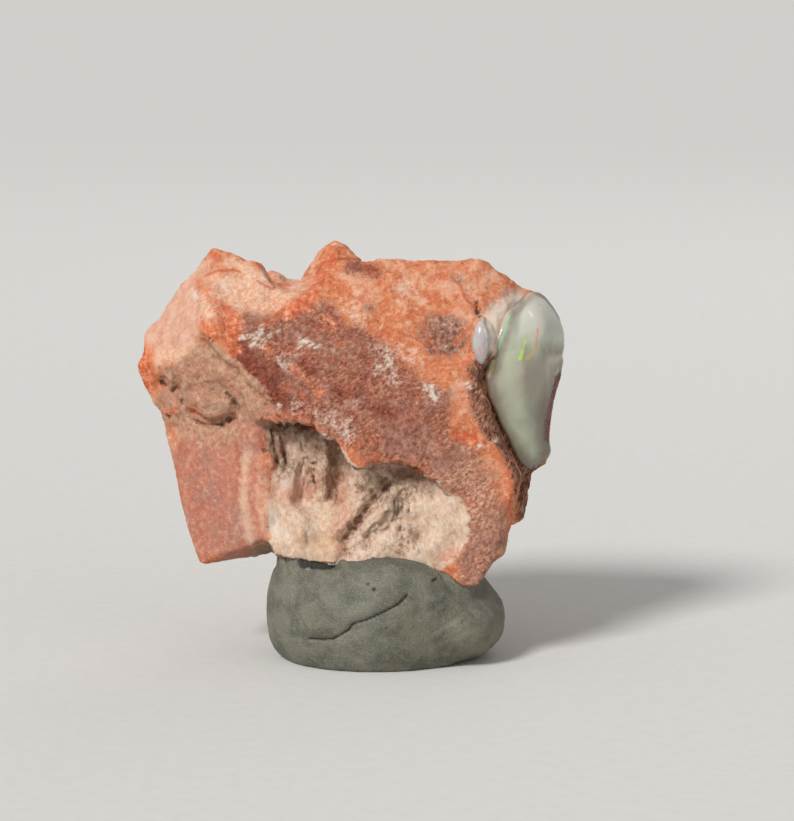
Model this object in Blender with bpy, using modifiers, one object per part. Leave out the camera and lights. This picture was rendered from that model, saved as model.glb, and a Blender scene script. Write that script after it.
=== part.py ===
"""Rough boulder opal standing on a lump of putty.

The stone is one broken piece of ironstone with precious opal on its right end. It is built as
a union of convex chunks, one for each group of fracture faces, less the hollows that broke out
of it. The whole is then marked with ridges, grooves and pits, weathered with noise, and thinned
to a faceted solid. The opal sits in a seat cut for it, and the putty is pressed up against the
stone's underside.

Lengths in this file are millimetres, with x to the right, y to the back and z up. The origin is
the middle of the putty's flat foot, on the surface that it stands on.
"""

import math

import bmesh
import bpy
from mathutils import Matrix, Vector, noise
from mathutils.bvhtree import BVHTree

MM = 0.001
SEAT_GAP = 0.3
PRESS_GAP = 0.4

STONE_VOXEL = 0.34
STONE_TRIANGLES = 6100
OPAL_VOXEL = 0.35
OPAL_TRIANGLES = 900
BEAD_TRIANGLES = 220
PUTTY_VOXEL = 0.45
PUTTY_TRIANGLES = 2000

# The stone's chunks, each by the corners of its convex hull. CRUST is the front sheet and the
# leg that runs down from it; HEART is the pale stone under it, which is the hollow's floor.
CRUST = [
    (-13.4, -1.5, 24.5), (-13.7, -0.2, 27.0), (-13.0, 1.6, 29.6), (-9.4, 2.0, 29.4), (-2.6, 2.0, 30.0),
    (2.0, 2.0, 29.8), (6.0, 2.0, 29.8), (7.7, 2.2, 29.4), (8.9, 2.6, 28.8), (6.7, -2.5, 22.0),
    (8.0, -3.0, 17.5), (9.7, -3.0, 14.4), (9.75, -2.6, 12.6), (9.5, -2.5, 10.4), (8.95, -2.7, 9.3),
    (8.4, -3.0, 8.1), (7.55, -3.7, 6.8), (7.0, -4.2, 6.1), (6.3, -4.4, 5.75), (4.6, -4.2, 7.4),
    (-1.6, -5.5, 15.2), (-7.5, -3.9, 19.4), (-9.4, -2.4, 18.2), (10.5, 1.1, 13.6), (-12.6, 4.0, 28.6),
    (7.0, 5.0, 28.6), (8.0, 3.0, 14.0), (7.0, 2.0, 7.5), (-8.0, 3.0, 18.5),
]
# The space beside the opal that the crust leaves: its left side is the crust's fibrous edge.
NOTCH = [
    (6.8, -2.6, 22.2), (8.0, -3.1, 17.5), (9.7, -3.1, 14.3), (7.5, -0.7, 22.2), (8.4, -0.2, 18.4),
    (10.4, 1.1, 13.7), (20.0, -8.0, 22.6), (20.0, 8.0, 22.6), (20.0, -8.0, 13.6), (20.0, 8.0, 13.6),
]
LEFT_SHOULDER = [
    (-13.4, -1.2, 24.4), (-13.6, 0.2, 27.0), (-12.75, 3.0, 30.5), (-12.0, 3.2, 30.3), (-10.4, 3.0, 29.6),
    (-14.0, 4.0, 28.7), (-16.5, 4.0, 26.3), (-18.2, 3.5, 23.7), (-18.5, 3.0, 21.3), (-18.35, 3.0, 20.1),
    (-17.9, 3.0, 19.4), (-17.2, 2.8, 19.0), (-17.0, 2.8, 18.0), (-8.6, -2.9, 19.2), (-9.3, -2.4, 18.3),
    (-15.2, 8.4, 25.6), (-15.6, 8.6, 21.0), (-11.0, 10.4, 26.4), (-14.5, 8.4, 17.5), (-8.0, 9.0, 20.0),
]
BANDED_FOOT = [
    (-17.3, 3.2, 19.2), (-16.7, 3.0, 17.3), (-9.9, -1.8, 19.6), (-9.0, -2.5, 14.0), (-8.8, -2.8, 9.4),
    (-9.5, -2.1, 9.1), (-13.8, 1.9, 6.5), (-14.3, 2.1, 7.0), (-14.5, 2.2, 9.9), (-14.9, 2.5, 13.4),
    (-7.8, -0.6, 17.6), (-6.6, -1.0, 14.0), (-6.6, -2.2, 9.6), (-9.4, 7.7, 6.1), (-12.6, 8.0, 7.4),
    (-14.3, 8.5, 13.0), (-14.6, 8.5, 17.0), (-8.0, 9.0, 17.0), (-8.0, 8.0, 6.8),
]
HEART = [
    (-9.0, 0.8, 18.4), (-3.0, -0.4, 17.2), (2.0, -2.2, 15.6), (5.6, -3.6, 13.2), (6.6, -4.0, 11.2),
    (5.2, -3.7, 8.2), (-8.6, -2.9, 9.4), (-8.0, -3.1, 8.3), (-4.0, -3.7, 7.4), (0.0, -4.0, 7.0),
    (4.8, -3.8, 7.0), (-8.0, 8.0, 18.0), (7.0, 8.0, 14.0), (6.0, 7.0, 6.4), (-8.0, 8.0, 6.2),
]
BACK = [
    (-12.0, 6.0, 28.0), (-3.0, 6.0, 29.0), (7.0, 6.5, 28.0), (11.0, 6.0, 26.8), (-11.0, 10.4, 25.4),
    (-0.5, 12.5, 24.2), (9.0, 10.8, 23.4), (11.0, 9.0, 17.0), (9.0, 9.8, 12.0), (-1.0, 12.2, 12.0),
    (-12.6, 9.6, 15.0), (-11.5, 8.6, 9.5), (-9.0, 8.0, 6.3), (5.0, 8.0, 6.4), (9.0, 6.5, 9.0),
    (3.0, 12.4, 18.0), (-8.0, 11.6, 20.0), (-8.0, 1.5, 18.5), (7.5, -1.0, 18.0), (6.0, 0.0, 8.0),
    (-6.0, 0.0, 8.0),
]
RIGHT_SHOULDER = [
    (5.7, 2.0, 29.7), (8.9, 2.6, 28.8), (10.1, 3.2, 28.1), (11.1, 3.6, 27.45), (12.2, 4.6, 26.4),
    (13.1, 5.6, 24.9), (13.5, 6.2, 22.8), (13.4, 6.2, 20.6), (13.1, 5.6, 18.6), (12.7, 4.6, 16.6),
    (12.5, 3.6, 15.2), (12.0, 2.4, 14.2), (10.5, 1.1, 13.7), (7.5, -0.8, 21.4), (8.5, -0.3, 24.4),
    (9.4, 0.6, 26.2), (11.5, 9.5, 24.5), (11.8, 9.2, 16.0), (6.0, 10.0, 27.0), (9.0, 9.5, 12.5),
]
RIGHT_STEP = [
    (10.75, 2.3, 10.0), (9.3, 0.5, 9.4), (11.2, 2.3, 13.6), (10.6, 8.0, 10.2), (11.0, 8.0, 14.0),
    (5.0, 2.0, 8.0), (5.0, 8.0, 8.0), (6.0, 5.0, 15.0),
]
REAR_PEAK = [
    (-3.8, 8.6, 30.8), (-6.9, 8.6, 27.2), (-1.8, 8.2, 29.0), (-5.5, 11.0, 26.0), (-1.0, 11.5, 26.0),
    (-4.0, 6.0, 28.3), (-6.5, 6.5, 26.8), (-4.0, 8.6, 22.0),
]

# The hollow that broke out under the crust, as its outline from the front in x and z: the
# crust's ragged lip, the inner side of its leg, and round below the stone.
HOLLOW_OUTLINE = [
    (-9.6, 18.0), (-8.0, 18.3), (-6.1, 18.5), (-5.0, 18.1), (-3.9, 17.4), (-2.9, 16.5), (-2.3, 15.5),
    (-1.6, 15.1), (-0.7, 15.6), (1.0, 15.4), (2.2, 15.2), (3.1, 14.4), (4.1, 13.7), (5.4, 13.0),
    (6.1, 12.2), (6.4, 11.3), (5.9, 10.6), (6.3, 9.8), (5.7, 8.9), (4.5, 7.7), (4.2, 2.0), (-13.0, 2.0),
]
HOLLOW_FRONT = -12.0
HOLLOW_BACK = 2.2
SCOOP_CENTRE = (-4.8, -4.4, 14.8)
SCOOP_RADII = (4.2, 4.0, 4.6)
SADDLE_CENTRE = (-6.65, 3.0, 31.0)
SADDLE_RADII = (2.9, 8.5, 3.9)

# Marks on the front: what each is, its route in x and z, its half width, and its height, which
# is below nought for a groove or a pit.
MARKS = [
    ("hollow rib", [(-4.6, 17.6), (-4.3, 14.6), (-4.4, 12.6)], 0.8, 0.9),
    ("groove beside it", [(-3.2, 17.0), (-3.1, 14.4), (-3.4, 12.4)], 0.8, -0.8),
    ("slanting groove", [(0.2, 13.6), (-1.2, 12.0), (-3.0, 9.6)], 0.8, -0.8),
    ("slanting rib", [(1.8, 13.6), (0.4, 12.2), (-1.4, 10.4)], 0.9, 0.6),
    ("hollow's left rib", [(-7.0, 15.0), (-7.2, 12.0), (-5.8, 9.6)], 0.9, 0.4),
    ("crack under the crust's edge", [(-13.6, 24.0), (-12.1, 22.7), (-10.0, 20.8), (-8.4, 19.4)], 0.6, -0.5),
    ("ring round the boss", [(-14.6, 18.2), (-13.2, 17.6), (-11.8, 17.8), (-11.1, 19.0)], 0.55, -0.6),
    ("boss", [(-13.1, 19.4), (-12.7, 19.1)], 1.6, 0.5),
    ("left knob", [(-17.6, 21.6), (-17.8, 20.4)], 0.9, 0.35),
    ("pits beside the knob", [(-16.7, 20.5), (-15.9, 19.8), (-15.4, 20.6)], 0.6, -0.5),
    ("crust's upper left edge", [(-12.9, 27.6), (-12.4, 25.8), (-12.6, 24.6)], 1.1, 0.5),
    ("ring on the banded face", [(-9.8, 16.9), (-9.2, 16.4)], 0.5, 0.3),
    ("stained dip", [(1.8, 24.2), (4.0, 24.4), (5.2, 23.6)], 1.3, -0.25),
    ("crack over the bead", [(6.4, 27.6), (7.2, 25.7)], 0.5, -0.3),
    ("swell along the crust", [(-7.6, 22.8), (-2.4, 18.6)], 1.2, 0.25),
]
MARK_FACING = 1.6

COARSE_HEIGHT = 0.4
COARSE_SCALE = 0.22
FINE_HEIGHT = 0.15
FINE_SCALE = 0.75
BANDED_CALM = 0.6
BANDED_RIGHT = -9.0
BANDED_TOP = 19.0
TEAR_HEIGHT = 0.42
TEAR_SINK = 0.45
TEAR_SCALE = 0.42
TEAR_LEFT = -7.6
TEAR_FRONT = -4.8

# The opal: corners of the surface that shows, and of the root that sits in the stone.
OPAL_SURFACE = [
    (9.3, 0.4, 25.8), (8.4, -0.3, 24.3), (7.6, -1.2, 21.7), (7.6, -1.4, 20.5), (8.2, -1.1, 19.0),
    (9.0, -0.6, 17.2), (9.8, 0.0, 15.6), (10.6, 0.7, 14.3), (11.2, 1.3, 13.9), (12.6, 2.5, 14.7),
    (12.4, 2.9, 15.4), (12.6, 3.6, 16.6), (13.0, 4.6, 18.4), (13.5, 5.2, 19.8), (13.8, 5.4, 21.3),
    (13.9, 5.4, 22.8), (13.7, 5.2, 24.1), (13.1, 4.8, 25.6), (12.3, 4.0, 26.7), (11.2, 3.0, 27.3),
    (9.9, -0.5, 24.0), (10.3, -0.9, 21.2), (10.7, -0.3, 18.0), (12.1, 1.3, 22.4), (12.0, 1.4, 19.2),
    (12.0, 1.1, 24.4),
]
OPAL_ROOT = [
    (9.4, 3.4, 25.4), (8.8, 2.4, 21.8), (9.6, 2.8, 17.6), (10.6, 3.2, 15.2), (12.2, 6.8, 24.4),
    (12.2, 7.2, 21.0), (11.8, 6.2, 18.2),
]
OPAL_SOFTENING = 3
BEAD_CENTRE = (7.2, -1.75, 24.0)
BEAD_RADII = (0.62, 0.7, 1.65)

# The putty: a squashed main lump, a lobe at its right, and a bump that rose before the stone.
PUTTY_CENTRE = (-0.6, 0.4, 3.6)
PUTTY_RADII = (8.4, 7.3, 5.3)
PUTTY_SQUARENESS = 0.72
LOBE_CENTRE = (5.7, 0.0, 2.9)
LOBE_RADII = (3.5, 5.6, 3.1)
BUMP_CENTRE = (0.4, -4.3, 6.4)
BUMP_RADII = (3.6, 1.9, 2.1)
PUTTY_SOFTENING = 12
PRESS_TRIES = 4
BELOW_FOOT = -5.0


def collection(name):
    """A new collection in the scene."""
    made = bpy.data.collections.new(name)
    bpy.context.scene.collection.children.link(made)
    return made


def object_from(shape, name, group):
    """An object in a collection, made from a bmesh in millimetres."""
    bmesh.ops.scale(shape, vec=(MM, MM, MM), verts=shape.verts)
    bmesh.ops.recalc_face_normals(shape, faces=shape.faces)
    mesh = bpy.data.meshes.new(name)
    shape.to_mesh(mesh)
    shape.free()
    made = bpy.data.objects.new(name, mesh)
    group.objects.link(made)
    return made


def hull(name, corners, group):
    """A closed convex chunk around its corners."""
    shape = bmesh.new()
    for corner in corners:
        shape.verts.new(corner)
    made = bmesh.ops.convex_hull(shape, input=shape.verts)
    inside = [part for part in made["geom_interior"] if isinstance(part, bmesh.types.BMVert)]
    bmesh.ops.delete(shape, geom=inside, context="VERTS")
    return object_from(shape, name, group)


def grown(corners, margin):
    """The corners of a chunk that is bigger all round by at least a margin."""
    signs = (-margin, margin)
    steps = [Vector((x, y, z)) for x in signs for y in signs for z in signs]
    return [Vector(corner) + step for corner in corners for step in steps]


def prism(name, outline, front, back, group):
    """A front outline in x and z, filled and drawn through from front to back."""
    curve = bpy.data.curves.new(name, "CURVE")
    curve.dimensions = "2D"
    curve.fill_mode = "BOTH"
    curve.extrude = (back - front) / 2 * MM
    spline = curve.splines.new("POLY")
    spline.points.add(len(outline) - 1)
    for point, (x, z) in zip(spline.points, outline):
        point.co = (x * MM, z * MM, 0.0, 1.0)
    spline.use_cyclic_u = True
    drawn = bpy.data.objects.new(name, curve)
    group.objects.link(drawn)
    upright = Matrix.Translation((0.0, (front + back) / 2 * MM, 0.0)) @ Matrix.Rotation(math.pi / 2, 4, "X")
    graph = bpy.context.evaluated_depsgraph_get()
    mesh = bpy.data.meshes.new_from_object(drawn.evaluated_get(graph))
    bpy.data.objects.remove(drawn)
    shape = bmesh.new()
    shape.from_mesh(mesh)
    bmesh.ops.remove_doubles(shape, verts=shape.verts, dist=1e-6)
    bmesh.ops.recalc_face_normals(shape, faces=shape.faces)
    shape.to_mesh(mesh)
    shape.free()
    made = bpy.data.objects.new(name, mesh)
    made.matrix_world = upright
    group.objects.link(made)
    return made


def lump(name, centre, radii, group, squareness=1.0):
    """A ball stretched to its radii; a squareness under one fills out its shoulders."""
    shape = bmesh.new()
    bmesh.ops.create_uvsphere(shape, u_segments=40, v_segments=24, radius=1.0)
    for vert in shape.verts:
        out = max(vert.co.xy.length, 1e-6)
        fuller = out ** (squareness - 1.0)
        rise = max(abs(vert.co.z), 1e-6) ** (squareness - 1.0)
        vert.co = (vert.co.x * fuller * radii[0], vert.co.y * fuller * radii[1], vert.co.z * rise * radii[2])
    bmesh.ops.translate(shape, verts=shape.verts, vec=centre)
    return object_from(shape, name, group)


def as_helper(*objects):
    """Marks cutters and chunks: seen as wires, and left out of the render."""
    for helper in objects:
        helper.hide_render = True
        helper.display_type = "WIRE"


def boolean(target, operation, other):
    """Adds a Boolean modifier with an object or with a collection of them."""
    modifier = target.modifiers.new(operation.title(), "BOOLEAN")
    modifier.operation = operation
    modifier.solver = "EXACT"
    if isinstance(other, bpy.types.Collection):
        modifier.operand_type = "COLLECTION"
        modifier.collection = other
    else:
        modifier.object = other


def fuse(target, voxel):
    """Adds a voxel remesh, which melts joined chunks into one skin."""
    remesh = target.modifiers.new("Fuse", "REMESH")
    remesh.mode = "VOXEL"
    remesh.voxel_size = voxel * MM


def soften(target, rounds):
    """Adds smoothing, which rounds the edges."""
    smooth = target.modifiers.new("Soften", "SMOOTH")
    smooth.factor = 0.5
    smooth.iterations = rounds


def thin(target, triangles):
    """Adds a decimation of the mesh as it is now, down to a number of triangles."""
    count = sum(len(face.vertices) - 2 for face in target.data.polygons)
    thinner = target.modifiers.new("Thin", "DECIMATE")
    thinner.ratio = triangles / count
    thinner.use_collapse_triangulate = True


def bake(target):
    """Replaces an object's mesh by what its modifiers make of it."""
    graph = bpy.context.evaluated_depsgraph_get()
    mesh = bpy.data.meshes.new_from_object(target.evaluated_get(graph))
    target.modifiers.clear()
    target.data = mesh
    return target


def clamp(value):
    """A value held between nought and one."""
    return max(0.0, min(1.0, value))


def distance_to_route(x, z, route):
    """The distance in the front view from a point to a route of straight runs."""
    point = Vector((x, z))
    distances = []
    for start, end in zip(route, route[1:]):
        first, run = Vector(start), Vector(end) - Vector(start)
        along = clamp((point - first).dot(run) / run.length_squared)
        distances.append((point - first - run * along).length)
    return min(distances)


def mark_height(place):
    """How far the marks raise or sink the stone's front at a place."""
    total = 0.0
    for _name, route, half_width, height in MARKS:
        reach = distance_to_route(place.x, place.z, route) / half_width
        if reach < 1.0:
            total += height * (1.0 - reach * reach) ** 2
    return total


def weather_height(place):
    """The height of the weathering at a place: coarse and fine, and calmer on the banded face."""
    coarse = noise.fractal(place * COARSE_SCALE + Vector((3.1, 0.4, 7.7)), 1.0, 2.1, 3)
    fine = noise.fractal(place * FINE_SCALE + Vector((9.2, 5.3, 1.8)), 0.9, 2.0, 3)
    on_banded = clamp(BANDED_RIGHT - place.x) * clamp(0.4 * (BANDED_TOP - place.z))
    return (1.0 - BANDED_CALM * on_banded) * (COARSE_HEIGHT * coarse + FINE_HEIGHT * fine)


def tear_height(place):
    """The height of the rough tears of the hollow's floor, which run down to the left."""
    across = Vector((place.x - 0.5 * place.z, place.y, 0.45 * place.z + 0.3 * place.x))
    ridges = noise.ridged_multi_fractal(across * TEAR_SCALE, 0.9, 2.1, 3, 1.0, 1.6)
    from_left = clamp((place.x - TEAR_LEFT) / 1.5)
    from_right = clamp(1.3 - place.x * 0.18)
    return (TEAR_HEIGHT * ridges - TEAR_SINK) * from_left * from_right


def in_outline(x, z, outline):
    """Whether a point of the front view lies inside an outline."""
    inside = False
    for (x0, z0), (x1, z1) in zip(outline, outline[1:] + outline[:1]):
        if (z0 > z) != (z1 > z) and x < x0 + (z - z0) / (z1 - z0) * (x1 - x0):
            inside = not inside
    return inside


def weather(stone):
    """Moves the stone's skin along its normals by the marks, the tears and the weathering."""
    moved = []
    for vert in stone.data.vertices:
        place = vert.co / MM
        facing = max(0.0, -vert.normal.y)
        height = weather_height(place) + mark_height(place) * clamp(MARK_FACING * facing)
        in_hollow = place.x > TEAR_LEFT and in_outline(place.x, place.z, HOLLOW_OUTLINE)
        if in_hollow and place.y > TEAR_FRONT and facing > 0.3:
            height += tear_height(place)
        moved.append(vert.co + vert.normal * height * MM)
    for vert, place in zip(stone.data.vertices, moved):
        vert.co = place
    stone.data.update()


def build_stone(parts, helpers, chunks):
    """The ironstone, before the opal's seat is cut."""
    stone = hull("host_rock", BACK, parts)
    crust = hull("crust_chunk", CRUST, chunks)
    hollow = prism("hollow_cutter", HOLLOW_OUTLINE, HOLLOW_FRONT, HOLLOW_BACK, helpers)
    notch = hull("notch_cutter", NOTCH, helpers)
    boolean(crust, "DIFFERENCE", hollow)
    boolean(crust, "DIFFERENCE", notch)
    heart = hull("heart_chunk", HEART, chunks)
    scoop = lump("scoop_cutter", SCOOP_CENTRE, SCOOP_RADII, helpers)
    boolean(heart, "DIFFERENCE", scoop)
    others = {
        "left_shoulder_chunk": LEFT_SHOULDER,
        "banded_foot_chunk": BANDED_FOOT,
        "right_shoulder_chunk": RIGHT_SHOULDER,
        "right_step_chunk": RIGHT_STEP,
    }
    made = [hull(name, corners, chunks) for name, corners in others.items()]
    saddle = lump("saddle_cutter", SADDLE_CENTRE, SADDLE_RADII, helpers)
    peak = hull("rear_peak_chunk", REAR_PEAK, helpers)
    as_helper(crust, hollow, notch, heart, scoop, saddle, peak, *made)
    boolean(stone, "UNION", chunks)
    boolean(stone, "DIFFERENCE", saddle)
    boolean(stone, "UNION", peak)
    fuse(stone, STONE_VOXEL)
    bake(stone)
    weather(stone)
    thin(stone, STONE_TRIANGLES)
    return bake(stone)


def build_opal(parts):
    """The main patch of opal, with softly rounded edges."""
    opal = hull("opal_seam", OPAL_SURFACE + OPAL_ROOT, parts)
    fuse(opal, OPAL_VOXEL)
    soften(opal, OPAL_SOFTENING)
    bake(opal)
    thin(opal, OPAL_TRIANGLES)
    return bake(opal)


def build_bead(parts):
    """The small lens of opal to the left of the main patch."""
    bead = lump("opal_bead", BEAD_CENTRE, BEAD_RADII, parts)
    thin(bead, BEAD_TRIANGLES)
    return bake(bead)


def cut_seats(stone, helpers):
    """Cuts the seats that the two opals sit in, each with a gap all round."""
    seat = hull("opal_seat_cutter", grown(OPAL_SURFACE + OPAL_ROOT, SEAT_GAP), helpers)
    bead_seat = lump("bead_seat_cutter", BEAD_CENTRE, [r + SEAT_GAP for r in BEAD_RADII], helpers)
    as_helper(seat, bead_seat)
    boolean(stone, "DIFFERENCE", seat)
    boolean(stone, "DIFFERENCE", bead_seat)
    bake(stone)


def press_under(putty, stone):
    """Presses the putty's skin down and away wherever it comes near the stone."""
    corners = [vert.co / MM for vert in stone.data.vertices]
    skin = BVHTree.FromPolygons(corners, [tuple(face.vertices) for face in stone.data.polygons])
    up = Vector((0.0, 0.0, 1.0))
    for vert in putty.data.vertices:
        place = vert.co / MM
        underside = skin.ray_cast(Vector((place.x, place.y, BELOW_FOOT)), up)[0]
        if underside is not None:
            place.z = min(place.z, underside.z - PRESS_GAP)
        for _ in range(PRESS_TRIES):
            near, _normal, _index, distance = skin.find_nearest(place)
            if distance >= PRESS_GAP:
                break
            place += (place - near).normalized() * (PRESS_GAP - distance)
        vert.co = place * MM
    putty.data.update()


def flatten_foot(putty):
    """Cuts the putty off flat at the surface that it stands on."""
    shape = bmesh.new()
    shape.from_mesh(putty.data)
    whole = shape.verts[:] + shape.edges[:] + shape.faces[:]
    bmesh.ops.bisect_plane(shape, geom=whole, plane_co=(0, 0, 0), plane_no=(0, 0, -1), clear_outer=True)
    rim = [edge for edge in shape.edges if edge.is_boundary]
    bmesh.ops.contextual_create(shape, geom=rim)
    bmesh.ops.recalc_face_normals(shape, faces=shape.faces)
    shape.to_mesh(putty.data)
    shape.free()


def build_putty(stone, parts, helpers):
    """The putty: a squashed lump with a flat foot, pressed under the stone."""
    putty = lump("putty_mount", PUTTY_CENTRE, PUTTY_RADII, parts, PUTTY_SQUARENESS)
    lobe = lump("putty_lobe", LOBE_CENTRE, LOBE_RADII, helpers)
    bump = lump("putty_bump", BUMP_CENTRE, BUMP_RADII, helpers)
    as_helper(lobe, bump)
    boolean(putty, "UNION", lobe)
    boolean(putty, "UNION", bump)
    fuse(putty, PUTTY_VOXEL)
    soften(putty, PUTTY_SOFTENING)
    bake(putty)
    press_under(putty, stone)
    thin(putty, PUTTY_TRIANGLES)
    bake(putty)
    flatten_foot(putty)
    return putty


def dress(target, name, colour, roughness, metallic=0.0):
    """Gives an object its one Principled material."""
    made = bpy.data.materials.new(name)
    made.use_nodes = True
    shader = made.node_tree.nodes["Principled BSDF"]
    shader.inputs["Base Color"].default_value = (*colour, 1.0)
    shader.inputs["Roughness"].default_value = roughness
    shader.inputs["Metallic"].default_value = metallic
    target.data.materials.clear()
    target.data.materials.append(made)


def main():
    """Builds the whole object."""
    for old in list(bpy.data.objects):
        bpy.data.objects.remove(old, do_unlink=True)
    parts = collection("rough boulder opal")
    helpers = collection("cutters")
    chunks = collection("stone chunks")
    stone = build_stone(parts, helpers, chunks)
    opal = build_opal(parts)
    bead = build_bead(parts)
    cut_seats(stone, helpers)
    putty = build_putty(stone, parts, helpers)
    dress(stone, "ironstone", (0.42, 0.17, 0.10), 0.85)
    dress(opal, "opal", (0.45, 0.52, 0.42), 0.12)
    dress(bead, "lilac opal", (0.50, 0.42, 0.50), 0.12)
    dress(putty, "putty", (0.15, 0.155, 0.135), 0.6)


main()
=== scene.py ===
"""Looks of a rough boulder opal: banded ironstone with a patch of opal, stood on a pinch of putty.

Sizes are in millimetres unless a name says otherwise, and turn into metres when a skin is dressed.
"""

import logging
import math
from dataclasses import dataclass
from enum import Enum

import bmesh
import bpy
import numpy as np
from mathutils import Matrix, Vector, noise
from mathutils.bvhtree import BVHTree

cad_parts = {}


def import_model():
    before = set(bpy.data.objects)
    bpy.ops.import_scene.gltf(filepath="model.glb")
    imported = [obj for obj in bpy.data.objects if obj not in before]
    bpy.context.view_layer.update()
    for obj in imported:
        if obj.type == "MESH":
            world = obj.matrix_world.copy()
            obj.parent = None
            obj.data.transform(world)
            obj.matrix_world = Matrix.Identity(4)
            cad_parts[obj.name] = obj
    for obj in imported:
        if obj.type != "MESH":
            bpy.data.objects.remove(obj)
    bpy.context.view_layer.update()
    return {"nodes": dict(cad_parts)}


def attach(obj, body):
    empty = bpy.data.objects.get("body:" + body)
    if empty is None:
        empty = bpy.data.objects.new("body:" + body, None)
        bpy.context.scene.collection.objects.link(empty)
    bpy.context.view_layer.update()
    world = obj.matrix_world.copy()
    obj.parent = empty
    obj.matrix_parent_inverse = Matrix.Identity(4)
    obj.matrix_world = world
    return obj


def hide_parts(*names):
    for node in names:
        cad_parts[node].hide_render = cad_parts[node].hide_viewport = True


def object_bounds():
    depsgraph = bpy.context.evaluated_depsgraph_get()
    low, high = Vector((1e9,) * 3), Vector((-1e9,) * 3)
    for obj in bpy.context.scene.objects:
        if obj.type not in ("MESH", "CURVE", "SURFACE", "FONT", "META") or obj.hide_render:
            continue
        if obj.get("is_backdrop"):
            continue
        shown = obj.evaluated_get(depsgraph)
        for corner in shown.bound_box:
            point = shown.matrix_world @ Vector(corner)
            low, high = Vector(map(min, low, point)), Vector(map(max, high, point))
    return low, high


LOG = logging.getLogger("boulder_opal")
MM = 0.001
BODY = "root"
LILAC_MILK = ((162, 154, 160), (178, 170, 173), (190, 184, 183))
LILAC_TOP = (180, 174, 174)
# Slants of the crust's grain, the brown strip's fibres and the hollow's tears, in degrees.
CRUST_SLANT = -52.0
BARK_SLANT = 60.0
TEAR_SLANT = 12.0
# How strongly the broad and the mottled clouds fray a zone's edge.
BROAD_FRAY = 1.7
MOTTLE_FRAY = 1.9
# Steps of weight when a skin is thinned, and how strongly they count.
THIN_STEPS = 4
THIN_FACTOR = 8.0
# Share of its shrinkage that a smoothed skin regains.
REGAIN = 0.8
# Greatest depth kept of a zone, and the depth of a zone that isn't there.
DEEP = 3.0
NOWHERE = -2.0

Pair = tuple[float, float]
Triple = tuple[float, float, float]
Route = tuple[Pair, ...]
Paint = tuple[int, int, int]
Tones = tuple[Paint, ...]


class Solid(Enum):
    """Solids of the frame that a dressed piece stands for."""

    ROCK = "host_rock"
    SEAM = "opal_seam"
    BEAD = "opal_bead"
    PUTTY = "putty_mount"


class Slot(Enum):
    """Material slots of the record."""

    IRONSTONE = "ironstone"
    OPAL = "opal"
    PUTTY = "putty"


class Field(Enum):
    """Values kept on a skin's points for its finish to read."""

    CREAM = "cream"
    DUSK = "dusk"
    EMBER = "ember"
    SALMON = "salmon"
    PALE = "pale"
    BEIGE = "beige"
    BANDS = "bands"
    LANE = "lane"
    STAIN = "stain"
    VEIL = "veil"
    BARK = "bark"
    # Pale flecks, and painted highlights on the opal and the bead.
    FLECK = "fleck"
    SOOT = "soot"
    RIM = "rim"
    BLUSH = "blush"
    HEIGHT = "height"
    WEAR = "wear"
    STRIPE = "stripe"
    OCHRE = "ochre"
    GRIME = "grime"
    VEIN = "vein"
    DRAWN = "drawn"
    HAZE = "haze"
    SHOWN = "shown"
    RIND = "rind"
    DENT = "dent"
    BRICK = "brick"
    PALER = "paler"
    RIDGE = "cyan_flash"
    LIME = "lime_flash"
    FLAME = "red_flash"
    # Gold flashes of colour, and one painted highlight.
    GLINT = "gold_flash"


class Way(Enum):
    """How one colour is laid over another."""

    COVER = "MIX"
    DARKEN = "MULTIPLY"
    GLAZE = "OVERLAY"


def ease(values: np.ndarray, low: float, high: float) -> np.ndarray:
    """Smooth step of values from 0 at low to 1 at high."""
    share = np.clip((values - low) / (high - low), 0.0, 1.0)
    return share * share * (3.0 - 2.0 * share)


def grain(points: np.ndarray, pitch: float, octaves: int, shift: float = 0.0) -> np.ndarray:
    """Layered noise at each point.

    Args:
        points: Places of the noise, one row each.
        pitch: Noise cells in a millimetre.
        octaves: Layers of finer noise.
        shift: Moves the pattern, so that two uses differ.

    Returns:
        A value of about -1 to 1 for each point.
    """
    places = (points * pitch + shift).tolist()
    return np.array([noise.fractal(place, 0.85, 2.1, octaves) for place in places])


def away_from(places: np.ndarray, route: Route, closed: bool = False) -> np.ndarray:
    """Distance from each place to a line on the marking sheet.

    Args:
        places: Places on the sheet, one row each.
        route: Corners of the line, or a single dot.
        closed: True if the last corner joins the first.

    Returns:
        The distance of each place.
    """
    corners = np.array(route, dtype=float)
    if len(corners) == 1:
        return np.linalg.norm(places - corners[0], axis=1)
    ends = np.roll(corners, -1, axis=0) if closed else corners[1:]
    best = np.full(len(places), 1e9)
    for start, end in zip(corners, ends):
        run = end - start
        share = np.clip((places - start) @ run / max(run @ run, 1e-9), 0.0, 1.0)
        gap = np.linalg.norm(places - start - share[:, None] * run, axis=1)
        best = np.minimum(best, gap)
    return best


def side_of(places: np.ndarray, routes: tuple[Route, ...]) -> np.ndarray:
    """Distance from each place to the nearest line, negative on the line's right.

    Args:
        places: Places on the sheet, one row each.
        routes: Corners of each line.

    Returns:
        The signed distance of each place.
    """
    best = np.full(len(places), 1e3)
    for route in routes:
        corners = np.array(route, dtype=float)
        for start, end in zip(corners[:-1], corners[1:]):
            run = end - start
            share = np.clip((places - start) @ run / max(run @ run, 1e-9), 0.0, 1.0)
            off = places - start - share[:, None] * run
            turn = run[0] * off[:, 1] - run[1] * off[:, 0]
            gap = np.linalg.norm(off, axis=1) * np.where(turn < 0.0, -1.0, 1.0)
            best = np.where(np.abs(gap) < np.abs(best), gap, best)
    return best


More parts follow.
